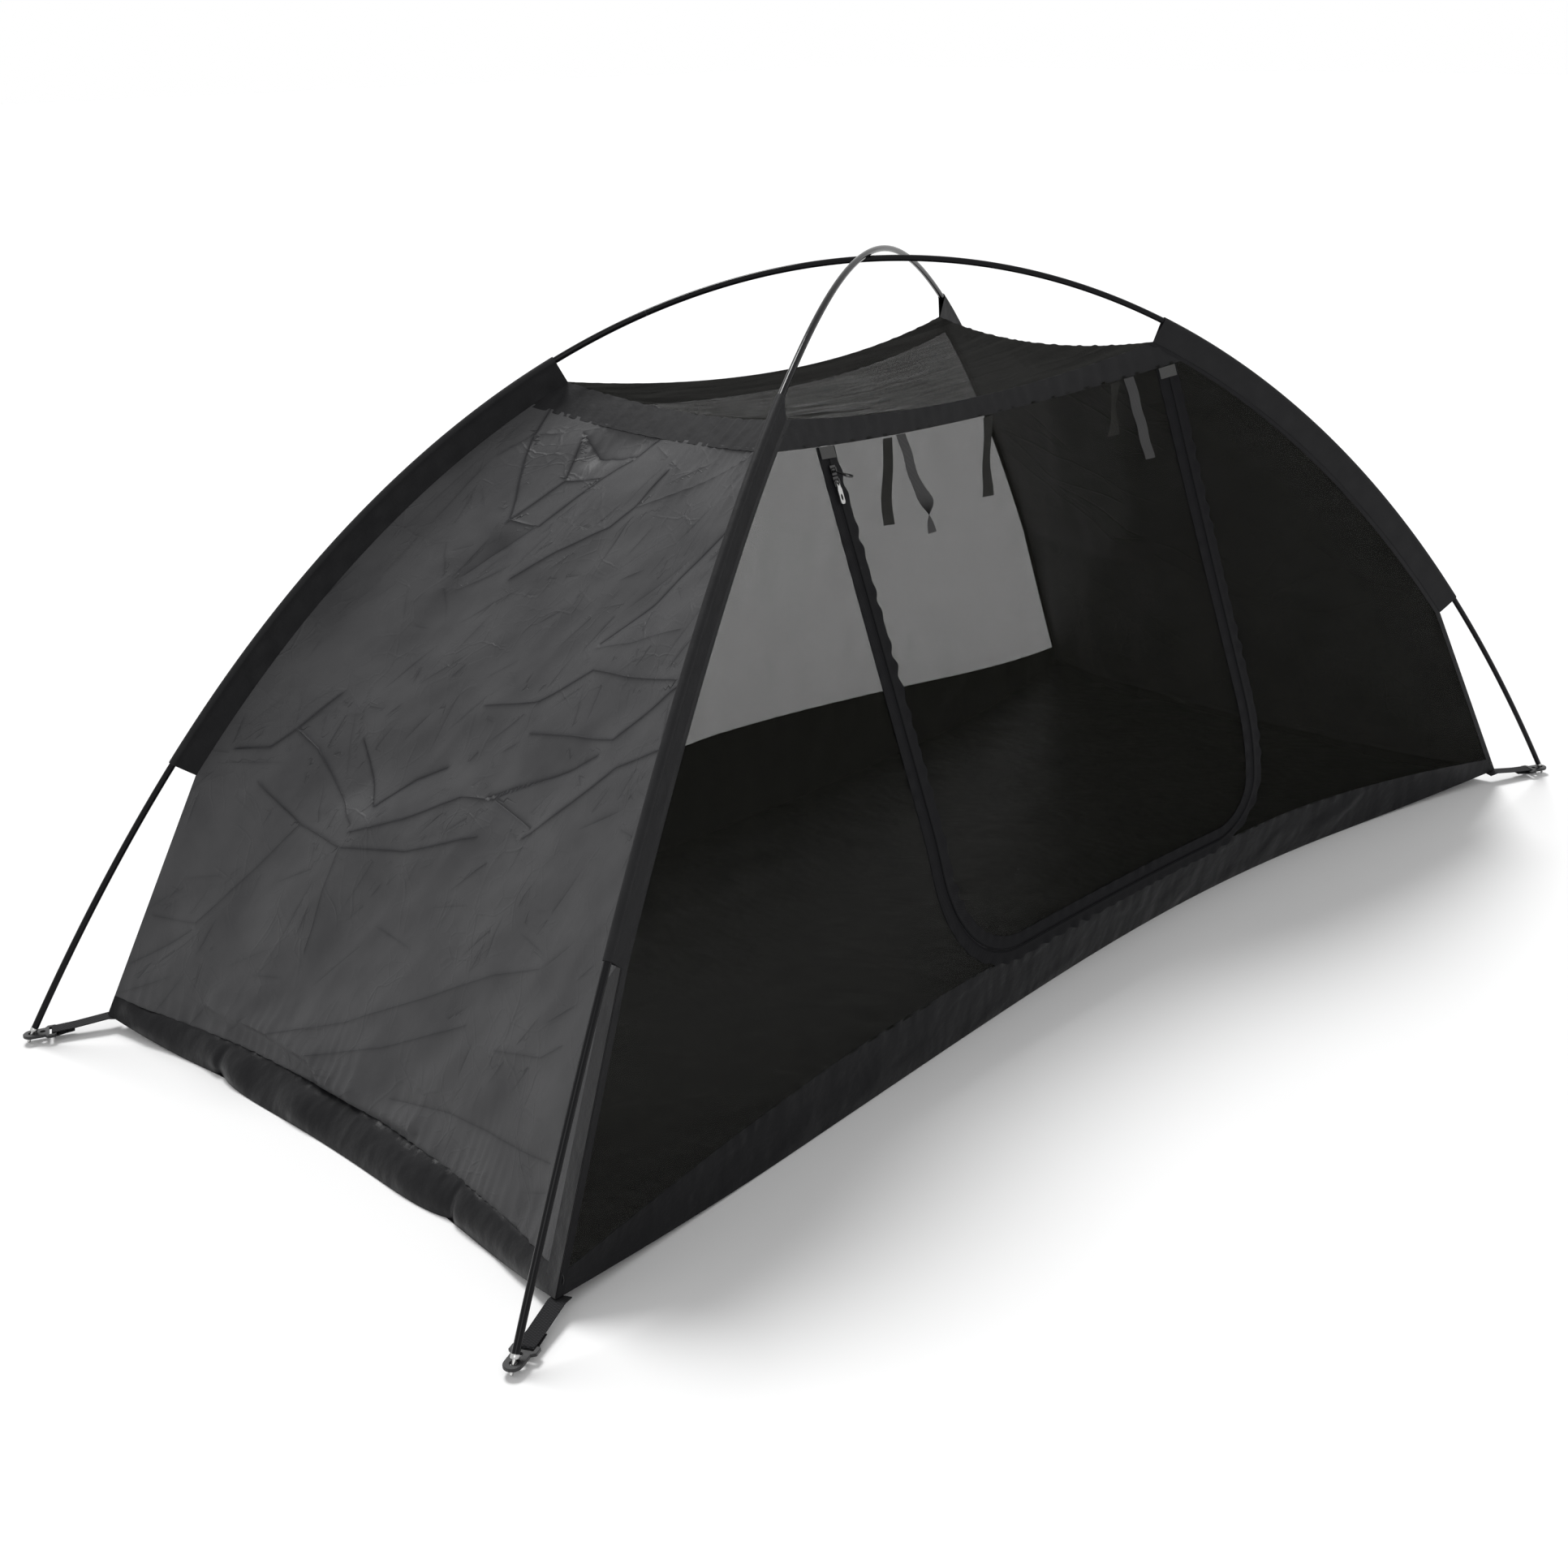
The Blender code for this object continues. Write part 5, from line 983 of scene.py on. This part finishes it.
def zip_path(low, high, spacing):
    """The zip's middle line from a low to a high height, in (x, height), and its outward side, at even
    spacing: down the left leg, round the corner, along the sill and up the right leg. Where the low height is
    on the straight of the left leg, it is that leg alone."""
    left_bend = ZIP_FOOT + LEFT_CORNER_RADIUS
    right_bend = ZIP_FOOT + RIGHT_CORNER_RADIUS
    if low > left_bend:
        height = np.linspace(high, low, int((high - low) / spacing) + 2)
        place = np.stack([np.full(height.shape, -LEG_X), height], axis=-1)
        return place, np.tile((-1.0, 0.0), (len(height), 1))
    turn = np.linspace(0.0, math.pi / 2.0, int(LEFT_CORNER_RADIUS * 1.57 / spacing))
    away_left = np.stack([-np.cos(turn), -np.sin(turn)], axis=-1)
    turn = np.linspace(0.0, math.pi / 2.0, int(RIGHT_CORNER_RADIUS * 1.57 / spacing))
    away_right = np.stack([np.sin(turn), -np.cos(turn)], axis=-1)
    down = np.arange(high, left_bend, -spacing)
    foot = np.arange(LEFT_CORNER_RADIUS - LEG_X, RIGHT_LEG_X - RIGHT_CORNER_RADIUS, spacing)[1:]
    rise = np.append(np.arange(right_bend, high, spacing)[1:], high)
    place = np.concatenate([
        np.stack([np.full(down.shape, -LEG_X), down], axis=-1),
        (LEFT_CORNER_RADIUS - LEG_X, left_bend) + LEFT_CORNER_RADIUS * away_left,
        np.stack([foot, np.full(foot.shape, ZIP_FOOT)], axis=-1),
        (RIGHT_LEG_X - RIGHT_CORNER_RADIUS, right_bend) + RIGHT_CORNER_RADIUS * away_right,
        np.stack([np.full(rise.shape, RIGHT_LEG_X), rise], axis=-1),
    ])
    away = np.concatenate([np.tile((-1.0, 0.0), (len(down), 1)), away_left,
                           np.tile((0.0, -1.0), (len(foot), 1)), away_right,
                           np.tile((1.0, 0.0), (len(rise), 1))])
    return place, away


def add_tape(name, place, away, side, body, node):
    """One half of the zip: a flat tape with a slightly wavy edge, and a coil whose every other ring is
    thinner. The section's points are (across, out): 8 and 9 are the coil's crest, 4 and 5 the tape's edge."""
    edge, coil = ZIP_GAP / 2.0, ZIP_GAP / 2.0 + COIL_WIDTH
    half, tall = TAPE_THICKNESS / 2.0, COIL_HEIGHT / 2.0
    section = np.array([(edge, -tall), (coil, -tall), (coil, -half), (FLAT_TAPE, -half), (TAPE_EDGE, -half),
                        (TAPE_EDGE, half), (FLAT_TAPE, half), (coil, half), (coil - COIL_ROUND, tall),
                        (edge + COIL_ROUND, tall), (edge, tall * 0.4)])
    run = np.concatenate([[0.0], np.cumsum(np.linalg.norm(np.diff(place, axis=0), axis=1))])[:, None]
    tooth = (np.arange(len(place)) % 2)[:, None]
    across = side * np.broadcast_to(section[:, 0], (len(place), len(section))).copy()
    out = np.broadcast_to(section[:, 1], across.shape).copy()
    out[:, 8:10] -= TOOTH_DIP * tooth
    ends = (30.0 * np.minimum(run, run[-1] - run)).clip(0.0, 1.0)
    ripple = waves(run, 0.0 * run, seed=41, count=6, length=0.022, lean=math.pi / 2.0, fan=0.2) * ends
    out[:, 4:6] += TAPE_RIPPLE * ripple
    across[:, 4:6] += TAPE_RIPPLE * side * ripple
    x = place[:, :1] + across * away[:, :1]
    height = place[:, 1:] + across * away[:, 1:]
    return add_loft(name, front_wall(x, height, TAPE_OUT + out), tape_cloth, body, [node], 35.0)


top = STRIP_HEIGHT - SEAM
spacing = TOOTH_PITCH / 2.0
add_tape("tape_cabin", *zip_path(SILL_MIDDLE, top, spacing), 1.0, "tent", "zip_tape_cabin")
add_tape("tape_door", *zip_path(SILL_MIDDLE, FOLD_HEIGHT - FOLD_GAP, spacing), -1.0, "door", "zip_tape_door")
place, away = zip_path(FOLD_HEIGHT, top, spacing)
add_tape("tape_header_left", place, away, -1.0, "tent", "zip_tape_header_left")
add_tape("tape_header_right", place * (0.0, 1.0) + (RIGHT_LEG_X, 0.0), -away, -1.0, "tent",
         "zip_tape_header_right")

patch_cloth, tree, shader, coords = new_finish("patch_cloth", 0.8)
fleck = add_node(tree, "ShaderNodeTexNoise", coords.outputs["UV"], None, 700.0, 3.0)
tint(tree, shader, fleck.outputs[0], (0.02, 0.02, 0.02), (0.075, 0.075, 0.073))
relief(tree, shader, [(fleck.outputs[0], 0.0002)])
for side_name, middle in (("left", -LEG_X), ("right", RIGHT_LEG_X)):
    x, height = np.meshgrid(np.linspace(middle - TAPE_WIDTH, middle + TAPE_WIDTH, 21),
                            np.linspace(top - PATCH_LENGTH, top, 9))
    grid = front_wall(x, height, np.full(x.shape, TAPE_OUT + COIL_HEIGHT / 2.0 + PATCH_THICKNESS))
    add_cloth(f"end_patch_{side_name}", grid, PATCH_THICKNESS, patch_cloth, "tent",
              [f"zip_end_patch_{side_name}"])


# Zip sliders and pulls
# Two black enamelled sliders are parked near the top of the left leg. The lower one has a bright pull with an
# oval hole, the upper one a black pull that ends in a ring.
enamel, tree, shader, coords = new_finish("black_enamel", 0.22)
speck = add_node(tree, "ShaderNodeTexNoise", coords.outputs["Object"], None, 900.0, 3.0)
tint(tree, shader, speck.outputs[0], (0.004, 0.004, 0.004), (0.010, 0.010, 0.011))
tree.links.new(spread(tree, speck.outputs[0], 0.16, 0.30), shader.inputs["Roughness"])

for node, finish in (("zip_slider_upper", enamel), ("zip_slider_lower", enamel), ("zip_pull_lower", bright),
                     ("zip_pull_upper", enamel)):
    refinish(node, finish)


# Ties
# Narrow woven ribbons for the rolled-up door are sewn under the front roof strip: three hang inside the net
# and two lie on it outside. Each has its place along the strip and its length, an inner one also its twist.
TIE_WIDTH = 0.0180
TIE_THICKNESS = 0.0005
OUTER_TIES = ((-0.148, 0.126), (0.296, 0.108))
INNER_TIES = ((-0.170, 0.112, 0.0), (0.030, 0.108, 0.30), (0.275, 0.075, 0.55))
INNER_TIE_DROP = 0.0015
INNER_TIE_OUT = -0.0026
OUTER_TIE_OUT = 0.0018
OUTER_TIE_LIFT = 0.0020
TIE_SWAY = 0.0035
TIE_LEAN = 0.004

# Painted light: the ribbons inside the net are a lighter copy of the same ribbon, to make up for the shade
# they hang in behind the net.
ribbons = []
for place, low, high in (("inside", (0.070, 0.070, 0.068), (0.240, 0.240, 0.235)),
                         ("outside", (0.030, 0.030, 0.031), (0.095, 0.095, 0.095))):
    ribbon, tree, shader, coords = new_finish(f"tie_ribbon_{place}", 0.85, 0.0, 0.1)
    rib = add_node(tree, "ShaderNodeTexWave", coords.outputs["UV"], 260.0, 0.3, bands_direction="Y")
    tint(tree, shader, rib.outputs[1], low, high)
    relief(tree, shader, [(rib.outputs[1], 0.0002)])
    ribbons.append(ribbon)

part = np.linspace(0.0, 1.0, 61)[:, None]
width = np.linspace(-TIE_WIDTH / 2.0, TIE_WIDTH / 2.0, 9)
for number, (x, length) in enumerate(OUTER_TIES):
    turn = math.pi * (1.0 - number) / (1.0 + np.exp(-(part - 0.74) * 14.0))
    out = OUTER_TIE_OUT + TIE_WIDTH / 2.0 * np.abs(np.sin(turn)) + width * np.sin(turn)
    out = out + OUTER_TIE_LIFT * np.sin(2.6 * math.pi * part) ** 2
    grid = front_wall(x + width * np.cos(turn), (top - length * part) * np.ones_like(width), out)
    add_cloth(f"tie_outside_{number + 1}", grid, TIE_THICKNESS, ribbons[1], f"tie_outer_{number + 1}",
              [f"tie_outer_{number + 1}"])
for number, (x, length, twist) in enumerate(INNER_TIES):
    turn = twist * np.sin(math.pi * part) - 0.25 * part
    start = front_wall(x + width, np.full(width.shape, top - INNER_TIE_DROP),
                       np.full(width.shape, INNER_TIE_OUT))
    sway = TIE_SWAY * np.sin(2.3 * math.pi * part + number)
    grid = np.stack([x + width * np.cos(turn) + sway * part,
                     start[:, 1] + width * np.sin(turn) + TIE_LEAN * part,
                     start[:, 2] - length * part], axis=-1)
    add_cloth(f"tie_inside_{number + 1}", grid, TIE_THICKNESS, ribbons[0], f"tie_inner_{number + 1}",
              [f"tie_inner_{number + 1}"])


# Roof
# Four strips of black polyester finish the tops of the walls. A slack, crinkled panel of net is sewn between
# them.
LONG_PUCKER = 0.0005
END_PUCKER = 0.0007
CRINKLE_DEPTH = 0.0035
FINE_CRINKLE_DEPTH = 0.0014

strip_cloth, tree, shader, coords = new_finish("strip_cloth", 0.6, 0.0, 0.1)
cloud = add_node(tree, "ShaderNodeTexNoise", coords.outputs["UV"], None, 30.0, 5.0)
tint(tree, shader, cloud.outputs[0], (0.012, 0.012, 0.013), (0.021, 0.021, 0.022))
relief(tree, shader, [(cloud.outputs[0], 0.002)])

height = np.linspace(STRIP_HEIGHT, WALL_RISE, 9)[:, None]
part = (height - STRIP_HEIGHT) / STRIP_WIDTH
share = np.linspace(-1.0, 1.0, 201)
for side_name, y_sign in (("front", -1.0), ("back", 1.0)):
    grid = long_wall(share * (edge_at(height)[0] - BINDING_WIDTH + LAP), height) * (1.0, y_sign, 1.0)
    pucker = waves(grid[..., 0], grid[..., 2], seed=51, count=6, length=0.025, lean=math.pi / 2.0, fan=0.5)
    grid = pushed(grid, pucker * LONG_PUCKER, (0.0, y_sign, 0.0))
    add_cloth(f"top_strip_{side_name}", grid, HEM, strip_cloth, "tent",
              [f"roof_strip_{side_name}"])
share = np.linspace(-1.0, 1.0, 161)
for side_name, x_sign in (("left", -1.0), ("right", 1.0)):
    grid = end_wall(share * edge_at(height)[1], height) * (x_sign, 1.0, 1.0)
    pucker = waves(grid[..., 1], grid[..., 2], seed=52, count=6, length=0.022, lean=math.pi / 2.0, fan=0.5)
    grid = pushed(grid, pucker * END_PUCKER, (x_sign, 0.0, 0.0))
    add_cloth(f"top_strip_{side_name}", grid, HEM, strip_cloth, "tent",
              [f"roof_strip_{side_name}"])

roof_mesh, tree, shader, coords = new_finish("roof_net", 0.8, 0.0, 0.0)
streak = add_node(tree, "ShaderNodeMapping", coords.outputs["UV"], None, None, (5.0, 110.0, 1.0))
lines = add_node(tree, "ShaderNodeTexNoise", streak.outputs[0], None, 1.0, 4.0)
tree.links.new(spread(tree, lines.outputs[0], 0.42, 0.98), shader.inputs["Alpha"])
tint(tree, shader, lines.outputs[0], (0.012, 0.012, 0.0115), (0.040, 0.040, 0.038))

across, up = np.meshgrid(np.linspace(-1.0, 1.0, 261), np.linspace(-1.0, 1.0, 181))
front = long_wall(across * ROOF_X, WALL_RISE * np.ones_like(across))[..., 1]
x = across * (ROOF_X - END_ROOF_BOW * (1.0 - up ** 2))
y = up * front
fade = (1.0 - across ** 10) * (1.0 - up ** 10)
crinkle = CRINKLE_DEPTH * waves(x, y, seed=61, count=9, length=0.10, lean=0.15, fan=1.2, sharp=0.6)
crinkle += FINE_CRINKLE_DEPTH * waves(x, y, seed=62, count=9, length=0.030, lean=0.1, fan=0.9, sharp=0.7)
z = ROOF_Z - LONG_ROOF_DIP * (1.0 - across ** 2) - END_ROOF_DIP * (1.0 - up ** 2) + crinkle * fade
add_cloth("net_roof", np.stack([x, y, z], axis=-1), NET, roof_mesh, "tent", ["roof_net"])


# Pole sleeves
# A folded tunnel of polyester runs along each pole and is sewn to a flat binding, which goes on down the
# cabin's edge to the base corner. At the near corner the binding is folded wider, as a band on the end panel.
SLEEVE_CLEARANCE = 0.0009
SLEEVE_HALF_SEAM = 0.0011
SEAM_FOLD = 0.002
SEAM_LINING = 0.0008
TUNNEL_ARC_POINTS = 17
SLEEVE_DENT = 0.0008
BINDING_THICKNESS = 0.0012
BAND_ABOVE_MOUTH = 0.010
BAND_OUT = 0.0009
BAND_TAPER = 0.03
BAND_TOP_SHARE = 0.3


def tunnel_section(radius, depth, half_seam, count):
    """The tunnel's section in (across, inward): round over the pole, then two sides drawn together at the
    seam."""
    angle = np.radians(np.linspace(30.0, -210.0, count))
    arc = np.stack([radius * np.cos(angle), radius * np.sin(angle)], axis=-1)
    slope = np.linspace(0.0, 1.0, 7)[1:, None]
    right_side = arc[0] + (np.array([half_seam, depth]) - arc[0]) * slope
    left_side = arc[-1] + (np.array([-half_seam, depth]) - arc[-1]) * slope
    return np.concatenate([right_side[::-1], arc, left_side])


for corner, (x_sign, y_sign) in CORNERS.items():
    pole = pole_end(x_sign, y_sign)[0]
    low, high = sorted((pole.run_at(x_sign * SLEEVE_MOUTH_SHARE), pole.run_at(x_sign * SLEEVE_TOP_SHARE)))
    run = np.linspace(low, high, 161)
    centres, side, inward = pole.frames(run)
    outer = tunnel_section(POLE_RADIUS + SLEEVE_CLEARANCE + CLOTH, SLEEVE_DEPTH, SLEEVE_HALF_SEAM,
                           TUNNEL_ARC_POINTS)
    inner = tunnel_section(POLE_RADIUS + SLEEVE_CLEARANCE, SLEEVE_DEPTH - SEAM_FOLD,
                           SLEEVE_HALF_SEAM - SEAM_LINING, TUNNEL_ARC_POINTS)
    skins = []
    for section in (outer, inner):
        flat = np.clip((section[:, 1] - POLE_RADIUS) / (SLEEVE_DEPTH - POLE_RADIUS), 0.0, 1.0)
        folds = waves(run[:, None], section[None, :, 1], seed=71, count=6, length=0.05, lean=math.pi / 2.0,
                      fan=1.4)
        dent = SLEEVE_DENT * folds * np.sin(math.pi * flat)
        skins.append(centres[:, None] + (section[:, 0] + dent)[..., None] * side[:, None]
                     + section[:, 1][:, None] * inward[:, None])
    count, sides = skins[0].shape[:2]
    outer_quads, outer_uv = loft_quads(skins[0])
    inner_quads, inner_uv = loft_quads(skins[1])
    shift = count * sides
    ring = np.arange(sides)
    after = (ring + 1) % sides
    far = (count - 1) * sides
    near_rim = np.stack([after, ring, ring + shift, after + shift], axis=-1)
    far_rim = np.stack([ring + far, after + far, after + far + shift, ring + far + shift], axis=-1)
    rims = np.concatenate([near_rim, far_rim])
    quads = np.concatenate([outer_quads, inner_quads[:, ::-1] + shift, rims])
    quad_uv = np.concatenate([outer_uv, inner_uv[:, ::-1], np.zeros((len(rims), 4, 2))])
    points = np.concatenate([skin.reshape(-1, 3) for skin in skins])
    tunnel = add_piece(f"sleeve_{corner}", points, quads, quad_uv, (), strip_cloth, "tent",
                       [f"pole_sleeve_{corner}"])

    height = np.linspace(BINDING_THICKNESS, WALL_RISE, 181)[:, None]
    share = np.linspace(0.0, 1.0, 9)
    x = x_sign * (edge_at(height)[0] - BINDING_WIDTH * (1.0 - share))
    grid = long_wall(x, height * np.ones_like(share), FRONT_SKEW * (y_sign < 0)) * (1.0, y_sign, 1.0)
    add_cloth(f"binding_{corner}", grid, BINDING_THICKNESS, coated, "tent", [])

band_top = EDGE[1, 2] - BASE_Z + BAND_ABOVE_MOUTH
height = np.linspace(BINDING_THICKNESS, band_top, 121)[:, None]
share = np.linspace(0.0, 1.0, 9)
band = EDGE_BAND * np.clip((band_top - height) / BAND_TAPER, BAND_TOP_SHARE, 1.0)
grid = end_wall(edge_at(height)[1] - band * (1.0 - share), height * np.ones_like(share)) * (-1.0, -1.0, 1.0)
grid = pushed(grid, np.full(grid.shape[:2], BAND_OUT), (-1.0, 0.0, 0.0))
add_cloth("corner_band", grid, HEM, coated, "tent", [])
